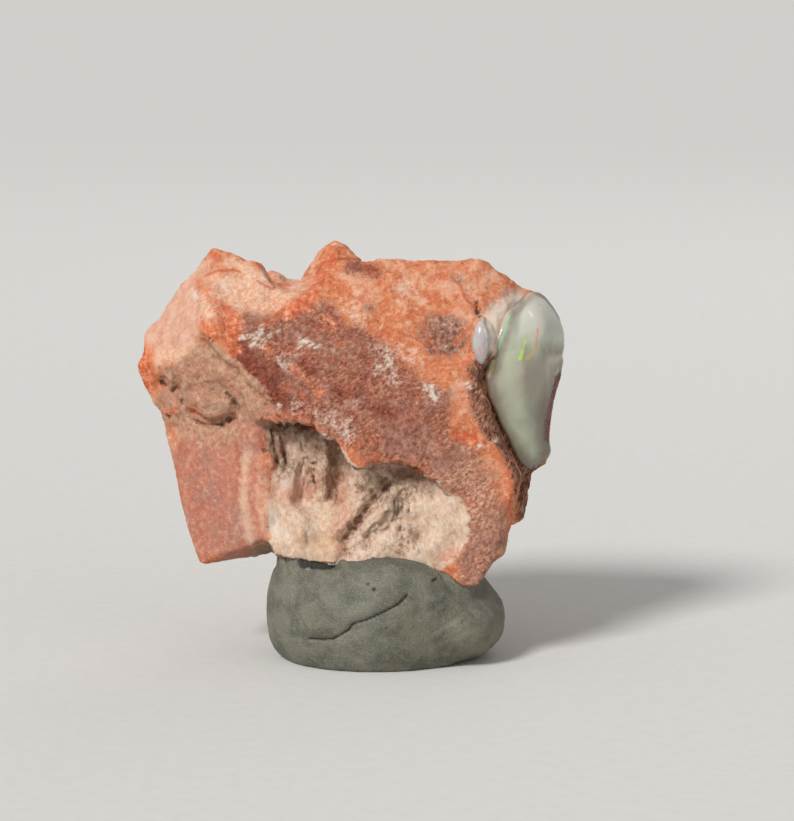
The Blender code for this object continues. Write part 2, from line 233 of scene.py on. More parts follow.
@dataclass(frozen=True)
class Sheet:
    """The marking sheet: a flat sheet through the origin, leaned back, read from a fixed distance."""

    lean: float = 8.5
    reach: float = 250.0
    middle: Pair = (0.981, 18.453)

    def lay(self, points: np.ndarray) -> np.ndarray:
        """Places on the sheet that cover the given points.

        Args:
            points: Points in space, one row each.

        Returns:
            Across and up on the sheet, one row each.
        """
        sine, cosine = math.sin(math.radians(self.lean)), math.cos(math.radians(self.lean))
        beyond = points[:, 1] * cosine - points[:, 2] * sine
        up = points[:, 1] * sine + points[:, 2] * cosine
        scale = self.reach / (self.reach + beyond)
        across = self.middle[0] + (points[:, 0] - self.middle[0]) * scale
        return np.stack((across, self.middle[1] + (up - self.middle[1]) * scale), axis=1)


@dataclass(frozen=True)
class Outline:
    """A closed line on the marking sheet."""

    corners: Route

    def depth(self, places: np.ndarray) -> np.ndarray:
        """How far inside the line each place is, negative outside.

        Args:
            places: Places on the sheet, one row each.

        Returns:
            The depth of each place.
        """
        corners = np.array(self.corners, dtype=float)
        crossed = np.zeros(len(places), dtype=int)
        for start, end in zip(corners, np.roll(corners, -1, axis=0)):
            spans = (start[1] > places[:, 1]) != (end[1] > places[:, 1])
            rise = end[1] - start[1] if end[1] != start[1] else 1e-9
            at = start[0] + (places[:, 1] - start[1]) * (end[0] - start[0]) / rise
            crossed += spans & (places[:, 0] < at)
        gap = away_from(places, self.corners, closed=True)
        return np.where(crossed % 2 == 1, gap, -gap)


@dataclass(frozen=True)
class Stroke:
    """A drawn line on the marking sheet, with half its width and its rise above the skin."""

    route: Route
    half: float
    rise: float = 0.0

    def depth(self, places: np.ndarray) -> np.ndarray:
        """How far inside the stroke each place is, negative outside."""
        return self.half - away_from(places, self.route)

    def lift(self, places: np.ndarray) -> np.ndarray:
        """Rise of the skin at each place, fading to the stroke's sides."""
        return self.rise * np.exp(-((away_from(places, self.route) / self.half) ** 2))


Strokes = tuple[Stroke, ...]
# The open chink between stone and putty, and the outer side of the opal with the stone behind it.
CHINK = Stroke(((-5.7, 7.7), (-4.3, 7.6)), 0.85)
OPAL_SIDE = Outline(
    (
        (11.4, 27.6), (12.15, 27.0), (12.8, 26.2), (13.35, 25.3), (13.6, 24.15), (13.6, 23.2),
        (13.45, 22.6), (13.55, 22.2), (13.4, 21.5), (13.3, 20.9), (13.05, 20.15), (12.8, 19.25),
        (12.62, 18.1), (12.5, 17.1), (12.45, 16.2), (12.55, 15.7), (12.65, 15.1), (12.5, 14.7),
        (11.8, 14.2), (11.2, 13.8), (6.0, 13.8), (6.0, 28.0),
    )
)
OPAL_SIDE_FROM = 11.0
OPAL_SIDE_SOFT = 0.5


def draw_in(skin: "Skin", sheet: Sheet, inside: float, most: float, low: float, high: float) -> None:
    """Draws a skin in to the outline of the opal's outer side.

    Args:
        skin: The skin.
        sheet: The marking sheet.
        inside: How far inside the outline the skin stays.
        most: The furthest that a point is drawn in.
        low: Lowest place on the sheet that is drawn in.
        high: Highest place on the sheet that is drawn in.
    """
    places = sheet.lay(skin.points)
    over = np.clip(inside - OPAL_SIDE.depth(places), 0.0, most)
    over *= ease(places[:, 0], OPAL_SIDE_FROM, OPAL_SIDE_FROM + OPAL_SIDE_SOFT)
    over *= ease(places[:, 1], low, low + OPAL_SIDE_SOFT) * ease(places[:, 1], high, high - OPAL_SIDE_SOFT)
    skin.points[:, 0] -= skin.blurred(over, 3)


def in_chink(skin: "Skin", sheet: Sheet) -> np.ndarray:
    """How far each point lies in the open chink between stone and putty, from 0 to 1."""
    share = ease(CHINK.depth(sheet.lay(skin.points)), -0.3, 0.3)
    return share * ease(-skin.points[:, 1], 1.0, 1.8)


def deepest(strokes: Strokes, places: np.ndarray) -> np.ndarray:
    """Depth of each place in whichever stroke holds it best."""
    return np.max([stroke.depth(places) for stroke in strokes], axis=0)


def lifted(strokes: Strokes, places: np.ndarray) -> np.ndarray:
    """Rise of the skin at each place, all strokes together."""
    return np.sum([stroke.lift(places) for stroke in strokes], axis=0)


def placed(name: str, data: bpy.types.ID) -> bpy.types.Object:
    """A new object of the scene that shows the given data.

    Args:
        name: Name of the object.
        data: Its mesh, light or camera.

    Returns:
        The object.
    """
    item = bpy.data.objects.new(name, data)
    bpy.context.scene.collection.objects.link(item)
    return item


class Skin:
    """A fine closed skin, worked in millimetres, that stands for a solid of the frame."""

    def __init__(self, name: str, form: bmesh.types.BMesh, voxel: float) -> None:
        """Covers a form of one or more closed solids with an even skin.

        Args:
            name: Name of the new piece.
            form: The solids, in millimetres. It is freed.
            voxel: Side of the skin's cells.
        """
        mesh = bpy.data.meshes.new(name)
        form.to_mesh(mesh)
        form.free()
        self.piece = placed(name, mesh)
        cover = self.piece.modifiers.new("cover", "REMESH")
        cover.mode = "VOXEL"
        cover.voxel_size = voxel
        self.settle()
        self.edges = self.read("edges", "vertices", 2).astype(int)
        self.degree = np.bincount(self.edges.ravel(), minlength=len(self.points))

    def settle(self) -> None:
        """Makes the piece's modifiers part of its mesh and reads its points."""
        ready = self.piece.evaluated_get(bpy.context.evaluated_depsgraph_get())
        self.mesh = bpy.data.meshes.new_from_object(ready)
        self.piece.modifiers.clear()
        self.piece.vertex_groups.clear()
        self.piece.data = self.mesh
        self.points = self.read("vertices", "co", 3)

    def read(self, part: str, value: str, width: int) -> np.ndarray:
        """Values of one part of the mesh, one row each.

        Args:
            part: The mesh's list of parts.
            value: Name of the value.
            width: Numbers in each value.

        Returns:
            The values.
        """
        rows = getattr(self.mesh, part)
        flat = np.empty(len(rows) * width, dtype=np.int32 if value == "vertices" else np.float32)
        rows.foreach_get(value, flat)
        return flat.reshape(-1, width).astype(float)

    def normals(self) -> np.ndarray:
        """Outward direction at each point of the skin as it is now.

        Returns:
            The directions, one row each.
        """
        self.mesh.vertices.foreach_set("co", self.points.astype(np.float32).ravel())
        self.mesh.update()
        return self.read("vertices", "normal", 3)

    def blurred(self, values: np.ndarray, rounds: int) -> np.ndarray:
        """Values averaged with their neighbours' again and again.

        Args:
            values: One row or one number for each point.
            rounds: How many times they are averaged.

        Returns:
            The averaged values, in the shape they came in.
        """
        rows = values.reshape(len(values), -1).copy()
        first, second = self.edges.T
        for _ in range(rounds):
            for column in range(rows.shape[1]):
                old = rows[:, column].copy()
                total = np.bincount(first, old[second], len(old)) + np.bincount(second, old[first], len(old))
                rows[:, column] = 0.5 * old + 0.5 * total / self.degree
        return rows.reshape(values.shape)

    def smooth(self, rounds: int) -> None:
        """Evens the skin out without shrinking it much.

        Args:
            rounds: How many times the points are averaged.
        """
        once = self.blurred(self.points, rounds)
        self.points = once + (once - self.blurred(once, rounds)) * REGAIN

    def hollowness(self, rounds: int) -> np.ndarray:
        """How far each point lies below its surroundings, negative on edges and tips."""
        around = self.blurred(self.points, rounds)
        return np.sum((around - self.points) * self.normals(), axis=1)

    def keep(self, field: Field, values: np.ndarray) -> None:
        """Writes one value of each point for the finish to read."""
        layer = self.mesh.attributes.new(field.value, "FLOAT", "POINT")
        layer.data.foreach_set("value", values.astype(np.float32))

    def thin(self, weights: np.ndarray, ratio: float) -> None:
        """Thins the finished skin where it matters least.

        Args:
            weights: How freely each point may go, from 0 to 1.
            ratio: Share of the triangles that is kept.
        """
        self.normals()
        group = self.piece.vertex_groups.new(name="hidden")
        levels = np.round(np.clip(weights, 0.0, 1.0) * THIN_STEPS).astype(int)
        for level in range(THIN_STEPS + 1):
            group.add(np.nonzero(levels == level)[0].tolist(), level / THIN_STEPS, "REPLACE")
        thinner = self.piece.modifiers.new("thinner", "DECIMATE")
        thinner.ratio = ratio
        thinner.vertex_group = group.name
        thinner.vertex_group_factor = THIN_FACTOR
        self.settle()

    def dress(self, solid: Solid, material: bpy.types.Material) -> bpy.types.Object:
        """Brings the skin to metres, inside the object's box, and puts it in its solid's place.

        Args:
            solid: The frame's solid that the piece stands for.
            material: The finish.

        Returns:
            The dressed piece.
        """
        low, high = (np.array(corner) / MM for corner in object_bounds())
        self.points = np.clip(self.points, low, high)
        self.mesh.vertices.foreach_set("co", (self.points * MM).astype(np.float32).ravel())
        self.mesh.polygons.foreach_set("use_smooth", np.ones(len(self.mesh.polygons), dtype=bool))
        self.mesh.materials.clear()
        self.mesh.materials.append(material)
        self.mesh.update()
        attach(self.piece, BODY)
        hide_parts(solid.value)
        return self.piece


def solid_form(
    node: bpy.types.Object, spread: float = 0.0, shift: Triple = (0.0, 0.0, 0.0)
) -> bmesh.types.BMesh:
    """A frame solid as a form in millimetres.

    Args:
        node: The frame's object.
        spread: How far its points move outward.
        shift: How far the whole form moves.

    Returns:
        The form, with its points joined.
    """
    form = bmesh.new()
    form.from_mesh(node.data)
    bmesh.ops.remove_doubles(form, verts=form.verts, dist=1e-6)
    bmesh.ops.scale(form, vec=(1.0 / MM,) * 3, verts=form.verts)
    form.normal_update()
    for vert in form.verts:
        vert.co += vert.normal * spread + Vector(shift)
    return form


def join_forms(forms: list[bmesh.types.BMesh]) -> bmesh.types.BMesh:
    """All forms together as one; the given forms are freed.

    Args:
        forms: The forms to join.

    Returns:
        The one form.
    """
    whole = bmesh.new()
    for form in forms:
        mesh = bpy.data.meshes.new("part_form")
        form.to_mesh(mesh)
        form.free()
        whole.from_mesh(mesh)
        bpy.data.meshes.remove(mesh)
    return whole


def paint(colour: Paint) -> tuple[float, float, float, float]:
    """A given colour, as the shader's linear values.

    Args:
        colour: Red, green and blue from 0 to 255.

    Returns:
        Red, green, blue and full cover, linear.
    """
    parts = [level / 255.0 for level in colour]
    parts = [part / 12.92 if part <= 0.04045 else ((part + 0.055) / 1.055) ** 2.4 for part in parts]
    return (*parts, 1.0)


Wire = bpy.types.NodeSocket
Value = float | Wire
Colour = Paint | Wire


@dataclass(frozen=True)
class Cloud:
    """A noise pattern: clouds in a millimetre, their layers, and how they are slanted and drawn out."""

    pitch: float
    detail: float = 4.0
    rough: float = 0.55
    twist: float = 0.0
    slant: float = 0.0
    stretch: Triple | None = None


class Bench:
    """Puts a material's nodes together, one wire after another."""

    def __init__(self, name: str) -> None:
        """Starts a material with its shader and the place of the shaded point.

        Args:
            name: Name of the material.
        """
        self.material = bpy.data.materials.new(name)
        self.material.use_nodes = True
        self.tree = self.material.node_tree
        self.tree.nodes.clear()
        self.shader = self.tree.nodes.new("ShaderNodeBsdfPrincipled")
        output = self.tree.nodes.new("ShaderNodeOutputMaterial")
        self.tree.links.new(self.shader.outputs[0], output.inputs[0])
        self.at = self.place()

    def plug(self, socket: Wire, value: Value | Colour | Triple) -> None:
        """Links a wire to a socket, or sets the socket's own value.

        Args:
            socket: The socket.
            value: The wire, number, colour or triple.
        """
        if isinstance(value, Wire):
            self.tree.links.new(value, socket)
        elif socket.type == "RGBA":
            socket.default_value = paint(value)
        else:
            socket.default_value = value

    def place(self) -> Wire:
        """Where the shaded point is on the piece, in millimetres.

        Returns:
            The place.
        """
        source = self.tree.nodes.new("ShaderNodeTexCoord")
        scale = self.tree.nodes.new("ShaderNodeVectorMath")
        scale.operation = "SCALE"
        self.plug(scale.inputs[0], source.outputs["Object"])
        scale.inputs["Scale"].default_value = 1.0 / MM
        return scale.outputs[0]

    def drawn_out(self, turn: float, stretch: Triple) -> Wire:
        """The shaded point's place, turned about the depth axis and then stretched.

        Args:
            turn: Turn in degrees.
            stretch: Factor along each axis; a small one draws the pattern out.

        Returns:
            The changed place.
        """
        turned = self.tree.nodes.new("ShaderNodeVectorRotate")
        turned.rotation_type = "Y_AXIS"
        self.plug(turned.inputs["Vector"], self.at)
        turned.inputs["Angle"].default_value = math.radians(turn)
        scaled = self.tree.nodes.new("ShaderNodeVectorMath")
        scaled.operation = "MULTIPLY"
        self.plug(scaled.inputs[0], turned.outputs[0])
        scaled.inputs[1].default_value = stretch
        return scaled.outputs[0]

    def field(self, field: Field) -> Wire:
        """A value kept on the skin's points.

        Args:
            field: The value to read.

        Returns:
            The value.
        """
        node = self.tree.nodes.new("ShaderNodeAttribute")
        node.attribute_name = field.value
        return node.outputs["Fac"]

    def cloud(self, cloud: Cloud) -> Wire:
        """Cloudy noise of about 0.3 to 0.7.

        Args:
            cloud: The pattern.

        Returns:
            The noise.
        """
        place = self.at
        if cloud.stretch is not None:
            place = self.drawn_out(cloud.slant, cloud.stretch)
        node = self.tree.nodes.new("ShaderNodeTexNoise")
        self.plug(node.inputs["Vector"], place)
        node.inputs["Scale"].default_value = cloud.pitch
        node.inputs["Detail"].default_value = cloud.detail
        node.inputs["Roughness"].default_value = cloud.rough
        node.inputs["Distortion"].default_value = cloud.twist
        return node.outputs[0]

    def cells(self, pitch: float) -> Wire:
        """Distance to the nearest cell's middle.

        Args:
            pitch: Cells in a millimetre.

        Returns:
            The distance.
        """
        node = self.tree.nodes.new("ShaderNodeTexVoronoi")
        self.plug(node.inputs["Vector"], self.at)
        node.inputs["Scale"].default_value = pitch
        return node.outputs["Distance"]

    def work(self, step: str, first: Value, second: Value = 0.0, third: Value = 0.0) -> Wire:
        """One step of arithmetic on values.

        Args:
            step: The math node's operation.
            first: First value.
            second: Second value.
            third: Third value.

        Returns:
            The result.
        """
        node = self.tree.nodes.new("ShaderNodeMath")
        node.operation = step
        for socket, value in zip(node.inputs, (first, second, third)):
            self.plug(socket, value)
        return node.outputs[0]

    def times(self, first: Value, second: Value) -> Wire:
        """One value times another."""
        return self.work("MULTIPLY", first, second)

    def times_plus(self, first: Value, second: Value, more: Value) -> Wire:
        """One value times another, and more added."""
        return self.work("MULTIPLY_ADD", first, second, more)

    def centred(self, cloud: Wire) -> Wire:
        """Cloudy noise moved to lie about 0."""
        return self.work("SUBTRACT", cloud, 0.5)

    def ease(self, value: Value, low: float, high: float) -> Wire:
        """Smooth step of a value from 0 at low to 1 at high.

        Args:
            value: The value.
            low: Where the step is 0; it may be above high.
            high: Where the step is 1.

        Returns:
            The step.
        """
        node = self.tree.nodes.new("ShaderNodeMapRange")
        node.interpolation_type = "SMOOTHSTEP"
        self.plug(node.inputs["Value"], value)
        flip = low > high
        node.inputs["From Min"].default_value = high if flip else low
        node.inputs["From Max"].default_value = low if flip else high
        node.inputs["To Min"].default_value = 1.0 if flip else 0.0
        node.inputs["To Max"].default_value = 0.0 if flip else 1.0
        return node.outputs[0]

    def some(self, value: Value, low: float, high: float, most: float) -> Wire:
        """Smooth step of a value from 0 at low to most at high."""
        return self.times(self.ease(value, low, high), most)

    def dots(self, pitch: float, edge: Pair, among: Wire, shown: Pair) -> Wire:
        """Small dots that show only where a cloud is strong.

        Args:
            pitch: Dots in a millimetre.
            edge: How far from its middle a dot has faded out, and where it is full.
            among: The cloud.
            shown: Values of the cloud where the dots start to show, and show in full.

        Returns:
            The dots' share.
        """
        return self.times(self.ease(self.cells(pitch), *edge), self.ease(among, *shown))

    def mixed(self, share: Value, under: Colour, over: Colour, way: Way = Way.COVER) -> Wire:
        """One colour laid over another.

        Args:
            share: How much of the upper colour shows.
            under: The lower colour.
            over: The upper colour.
            way: How it is laid.

        Returns:
            The mixed colour.
        """
        node = self.tree.nodes.new("ShaderNodeMix")
        node.data_type = "RGBA"
        node.blend_type = way.value
        self.plug(node.inputs[0], share)
        self.plug(node.inputs[6], under)
        self.plug(node.inputs[7], over)
        return node.outputs[2]

    def ramp(self, value: Wire, stops: tuple[tuple[float, Paint], ...]) -> Wire:
        """A colour read from stops along a value of 0 to 1.

        Args:
            value: What the colour follows.
            stops: Places and colours in order.

        Returns:
            The colour.
        """
        node = self.tree.nodes.new("ShaderNodeValToRGB")
        self.plug(node.inputs[0], value)
        strip = node.color_ramp.elements
        while len(strip) < len(stops):
            strip.new(1.0)
        for element, (at, colour) in zip(strip, stops):
            element.position = at
            element.color = paint(colour)
        return node.outputs[0]

    def tones(self, value: Wire, low: float, high: float, tones: Tones) -> Wire:
        """A colour read from even steps of tone along a value.

        Args:
            value: What the colour follows.
            low: Value of the first tone.
            high: Value of the last tone.
            tones: The tones in order.

        Returns:
            The colour.
        """
        step = (high - low) / (len(tones) - 1)
        return self.ramp(value, tuple((low + step * index, tone) for index, tone in enumerate(tones)))

    def relief(self, height: Wire, depth: float, under: Wire | None = None) -> Wire:
        """Fine relief of the surface.

        Args:
            height: Height from 0 to 1.
            depth: Millimetres between 0 and 1.
            under: Relief that this one lies on.

        Returns:
            The bent normal.
        """
        node = self.tree.nodes.new("ShaderNodeBump")
        node.inputs["Strength"].default_value = 1.0
        node.inputs["Distance"].default_value = depth * MM
        self.plug(node.inputs["Height"], height)
        if under is not None:
            self.plug(node.inputs["Normal"], under)
        return node.outputs[0]

    def finish(self, settings: dict[str, Value | Colour | Triple]) -> bpy.types.Material:
        """Sets the shader's sockets and returns the material.

        Args:
            settings: Values or wires by the socket's name.

        Returns:
            The material.
        """
        for name, value in settings.items():
            self.plug(self.shader.inputs[name], value)
        return self.material


class StoneBench(Bench):
    """A bench with the noise patterns that all of the stone's tones follow."""

    def __init__(self, name: str) -> None:
        """Starts the material and lays out its noise patterns.

        Args:
            name: Name of the material.
        """
        super().__init__(name)
        self.broad = self.cloud(Cloud(pitch=0.4, detail=5.0, rough=0.6))
        self.middle = self.cloud(Cloud(pitch=1.1, detail=6.0, rough=0.62))
        self.mottle = self.cloud(Cloud(pitch=2.3, detail=6.0, rough=0.72))
        self.fine = self.cloud(Cloud(pitch=5.4, rough=0.7))
        self.grit = self.cloud(Cloud(pitch=11.0, detail=3.0, rough=0.7))
        self.felt = self.cloud(
            Cloud(pitch=4.4, detail=6.0, rough=0.76, slant=CRUST_SLANT, stretch=(1.0, 1.0, 0.62))
        )
        self.fibre = self.cloud(Cloud(pitch=4.0, rough=0.6, slant=CRUST_SLANT, stretch=(1.0, 1.0, 0.2)))
        self.strands = self.cloud(
            Cloud(pitch=4.2, detail=5.0, rough=0.66, slant=BARK_SLANT, stretch=(0.3, 1.0, 1.0))
        )
        self.tear = self.cloud(
            Cloud(pitch=3.0, detail=6.0, rough=0.74, slant=TEAR_SLANT, stretch=(1.0, 1.0, 0.5))
        )
        fray = self.times_plus(self.centred(self.broad), BROAD_FRAY, self.centred(self.fine))
        self.fray = self.times_plus(self.centred(self.mottle), MOTTLE_FRAY, fray)
        self.specks = self.dots(3.4, (0.12, 0.05), self.middle, (0.48, 0.56))

    def zone(self, field: Field, soft: float, frayed: float = 1.0, most: float = 1.0) -> Wire:
        """Share of a zone at the shaded point, with a frayed edge.

        Args:
            field: The zone's depth on the skin.
            soft: Half the width of its soft edge.
            frayed: How far the edge frays.
            most: Share of the zone where it is full.

        Returns:
            The share.
        """
        return self.some(self.times_plus(self.fray, frayed, self.field(field)), -soft, soft, most)


@dataclass(frozen=True)
class StoneFinish:
    """Banded ironstone: orange crust, dusky purple skin, chalky cream hollow and pale broken sides."""

    crust: Tones = (
        (190, 98, 62), (214, 124, 82), (228, 146, 104), (236, 164, 126), (242, 188, 156), (246, 210, 186),
    )
    crust_deep: Tones = ((184, 86, 54), (212, 112, 72), (224, 134, 92), (232, 156, 116))
    salmon: Tones = ((224, 142, 108), (238, 172, 138), (246, 192, 160), (250, 208, 180), (252, 224, 204))
    pale: Tones = ((224, 160, 132), (236, 178, 150), (243, 191, 164), (247, 205, 181))
    ember: Tones = ((178, 76, 48), (214, 100, 64), (234, 126, 84), (243, 156, 116), (247, 190, 156))
    dusk: Tones = (
        (94, 44, 35), (130, 68, 52), (159, 94, 72), (178, 117, 94), (199, 142, 117), (228, 182, 156),
    )
    dusk_mauve: Tones = ((108, 64, 55), (145, 93, 78), (168, 118, 101), (188, 140, 120), (210, 168, 148))
    brick: Tones = ((86, 36, 29), (118, 52, 40), (146, 72, 54), (172, 98, 76))
    beige: Tones = ((166, 120, 93), (192, 144, 114), (208, 160, 130), (219, 175, 146), (231, 192, 165))
    beige_pink: Tones = ((176, 112, 94), (207, 142, 119), (224, 167, 142))
    moss: Paint = (160, 142, 116)
    bands_shade: Tones = ((160, 146, 140), (190, 188, 187), (216, 218, 219))
    stain: Tones = ((84, 50, 44), (118, 80, 70), (150, 109, 95), (180, 140, 122), (214, 180, 158))
    # Tones of the brown strip, and of the painted shade that widens it below the opal and under the bead.
    bark: Tones = ((70, 42, 32), (114, 72, 55), (146, 99, 78), (178, 128, 103), (210, 165, 139))
    cream: Tones = ((196, 154, 126), (223, 183, 155), (233, 198, 170), (240, 210, 185), (246, 224, 204))
    # Tones of grime and of painted shade in the hollow: under the lip, in the grooves and on undersides.
    grime: Tones = ((104, 80, 65), (138, 110, 90), (170, 138, 115), (204, 170, 145))
    blush: Paint = (222, 150, 124)
    ochre: Paint = (226, 176, 120)
    band_low: Paint = (204, 128, 104)
    band_mid: Paint = (212, 142, 117)
    band_rose: Paint = (204, 136, 116)
    band_high: Paint = (230, 166, 134)
    band_white: Paint = (244, 202, 174)
    band_grey: Paint = (188, 142, 127)
    cream_dark: Paint = (160, 120, 95)
    rust: Paint = (200, 100, 66)
    veil: Paint = (238, 227, 210)
    # Dark specks, cracks and dots, and painted shade in the chink under the stone.
    soot: Paint = (52, 39, 32)
    fleck: Paint = (244, 230, 214)
    shade: Paint = (164, 162, 160)
    light: Paint = (214, 214, 214)
    vein_half: float = 0.09
    roughness: float = 0.85
    specular: float = 0.22
    glow_depth: float = 1.2
    glow_reach: Triple = (1.0, 0.85, 0.7)
    coarse_depth: float = 0.16
    crumb_depth: float = 0.025

    def material(self) -> bpy.types.Material:
        """The stone's material, read from the fields that its skin keeps.

        Returns:
            The material.
        """
        bench = StoneBench("banded_ironstone")
        zone = bench.zone
        colour = self.crust_coat(bench)
        colour = bench.mixed(zone(Field.SALMON, 0.5), colour, self.salmon_coat(bench))
        colour = bench.mixed(zone(Field.PALE, 0.4, 0.5), colour, self.pale_coat(bench))
        colour = bench.mixed(zone(Field.DUSK, 0.55, 1.1, 0.97), colour, self.dusk_coat(bench))
        haze = bench.times(zone(Field.HAZE, 0.5, 1.5, 0.6), bench.ease(bench.felt, 0.42, 0.56))
        colour = bench.mixed(haze, colour, bench.tones(bench.fine, 0.36, 0.6, (self.band_white, self.fleck)))
        brick = bench.tones(bench.felt, 0.36, 0.64, self.brick)
        colour = bench.mixed(zone(Field.BRICK, 0.4, 1.2, 0.8), colour, brick)
        colour = bench.mixed(zone(Field.BEIGE, 0.16, 0.5), colour, self.beige_coat(bench))
        colour = bench.mixed(zone(Field.BANDS, 0.7), colour, self.banded_coat(bench))
        ember = bench.tones(bench.mottle, 0.35, 0.65, self.ember)
        colour = bench.mixed(zone(Field.EMBER, 0.35, 1.1, 0.9), colour, ember)
        colour = bench.mixed(zone(Field.CREAM, 0.1, 0.25), colour, self.cream_coat(bench))
        rim = bench.tones(bench.fine, 0.36, 0.64, self.ember)
        colour = bench.mixed(zone(Field.RIM, 0.3, 1.2, 0.42), colour, rim)
        veil = zone(Field.VEIL, 0.6, 0.6, 0.85)
        return bench.finish(
            {
                "Base Color": self.marked(bench, colour, veil),
                "Roughness": bench.times_plus(bench.fine, 0.3, self.roughness - 0.15),
                "Specular IOR Level": self.specular,
                "Subsurface Weight": bench.times(veil, 0.6),
                "Subsurface Scale": self.glow_depth * MM,
                "Subsurface Radius": self.glow_reach,
                "Normal": self.surface(bench),
            }
        )

    def crust_coat(self, bench: StoneBench) -> Wire:
        """Orange crust with deeper and paler patches.

        Args:
            bench: The stone's bench.

        Returns:
            The colour.
        """
        colour = bench.tones(bench.mottle, 0.33, 0.69, self.crust)
        deep = bench.tones(bench.felt, 0.34, 0.66, self.crust_deep)
        colour = bench.mixed(bench.some(bench.middle, 0.42, 0.6, 0.8), colour, deep)
        pale = bench.tones(bench.fine, 0.3, 0.66, self.salmon)
        return bench.mixed(bench.some(bench.broad, 0.5, 0.64, 0.65), colour, pale)

    def salmon_coat(self, bench: StoneBench) -> Wire:
        """Salmon skin with deeper patches.

        Args:
            bench: The stone's bench.

        Returns:
            The colour.
        """
        colour = bench.tones(bench.felt, 0.32, 0.66, self.salmon)
        deep = bench.tones(bench.mottle, 0.38, 0.62, self.crust_deep)
        return bench.mixed(bench.some(bench.middle, 0.54, 0.66, 0.5), colour, deep)

    def pale_coat(self, bench: StoneBench) -> Wire:
        """Pale broken side with a faint fibre and white grit.

        Args:
            bench: The stone's bench.

        Returns:
            The colour.
        """
        colour = bench.tones(bench.middle, 0.36, 0.64, self.pale)
        colour = bench.mixed(0.35, colour, bench.tones(bench.fibre, 0.34, 0.64, self.pale))
        return bench.mixed(bench.some(bench.grit, 0.58, 0.7, 0.35), colour, self.band_white)

    def dusk_coat(self, bench: StoneBench) -> Wire:
        """Dusky purple skin with mauve and orange patches and a few pale sparks.

        Args:
            bench: The stone's bench.

        Returns:
            The colour.
        """
        tint = bench.times_plus(bench.field(Field.PALER), 0.09, bench.felt)
        colour = bench.tones(tint, 0.34, 0.66, self.dusk)
        mauve = bench.tones(bench.mottle, 0.36, 0.64, self.dusk_mauve)
        colour = bench.mixed(bench.some(bench.broad, 0.46, 0.58, 0.7), colour, mauve)
        orange = bench.tones(bench.fine, 0.34, 0.66, self.crust_deep)
        colour = bench.mixed(bench.some(bench.middle, 0.56, 0.64, 0.45), colour, orange)
        sparks = bench.dots(2.7, (0.13, 0.06), bench.fine, (0.44, 0.52))
        return bench.mixed(bench.times(sparks, 0.55), colour, self.band_white)

    def beige_coat(self, bench: StoneBench) -> Wire:
        """Beige skin with pink and mossy patches and dark specks.

        Args:
            bench: The stone's bench.

        Returns:
            The colour.
        """
        colour = bench.tones(bench.mottle, 0.34, 0.66, self.beige)
        pink = bench.tones(bench.fine, 0.34, 0.66, self.beige_pink)
        colour = bench.mixed(bench.some(bench.middle, 0.46, 0.58, 0.75), colour, pink)
        colour = bench.mixed(bench.some(bench.broad, 0.52, 0.64, 0.3), colour, self.moss)
        return bench.mixed(bench.times(bench.specks, 0.6), colour, self.soot)

    def banded_coat(self, bench: StoneBench) -> Wire:
        """Stripes of the banded foot, mottled and shaded.

        Args:
            bench: The stone's bench.

        Returns:
            The colour.
        """
        colour = bench.ramp(bench.times_plus(bench.fray, 0.03, bench.field(Field.LANE)), self.stripes())
        colour = bench.mixed(bench.some(bench.broad, 0.47, 0.58, 0.65), colour, self.band_grey)
        colour = bench.mixed(bench.some(bench.middle, 0.5, 0.6, 0.5), colour, self.band_rose)
        colour = bench.mixed(bench.some(bench.mottle, 0.53, 0.64, 0.5), colour, self.band_high)
        colour = bench.mixed(0.6, colour, bench.tones(bench.mottle, 0.36, 0.64, self.bands_shade), Way.GLAZE)
        return bench.mixed(bench.zone(Field.STRIPE, 0.3, 0.35, 0.65), colour, self.band_white)

    def cream_coat(self, bench: StoneBench) -> Wire:
        """Chalky cream of the torn hollow, with blush, ochre, specks, and grime mixed with painted shade
        under the lip, in the grooves and on undersides.

        Args:
            bench: The stone's bench.

        Returns:
            The colour.
        """
        colour = bench.tones(bench.tear, 0.3, 0.6, self.cream)
        colour = bench.mixed(bench.zone(Field.BLUSH, 0.6, 1.6, 0.6), colour, self.blush)
        colour = bench.mixed(bench.zone(Field.OCHRE, 0.5, 1.6, 0.4), colour, self.ochre)
        colour = bench.mixed(bench.times(bench.specks, 0.55), colour, self.cream_dark)
        colour = bench.mixed(bench.zone(Field.STRIPE, 0.3, 0.6, 0.7), colour, self.fleck)
        # Grime mixed with painted shade under the lip, in the grooves and on undersides.
        grime = bench.tones(bench.tear, 0.34, 0.66, self.grime)
        return bench.mixed(bench.zone(Field.GRIME, 0.55, 1.6, 0.8), colour, grime)

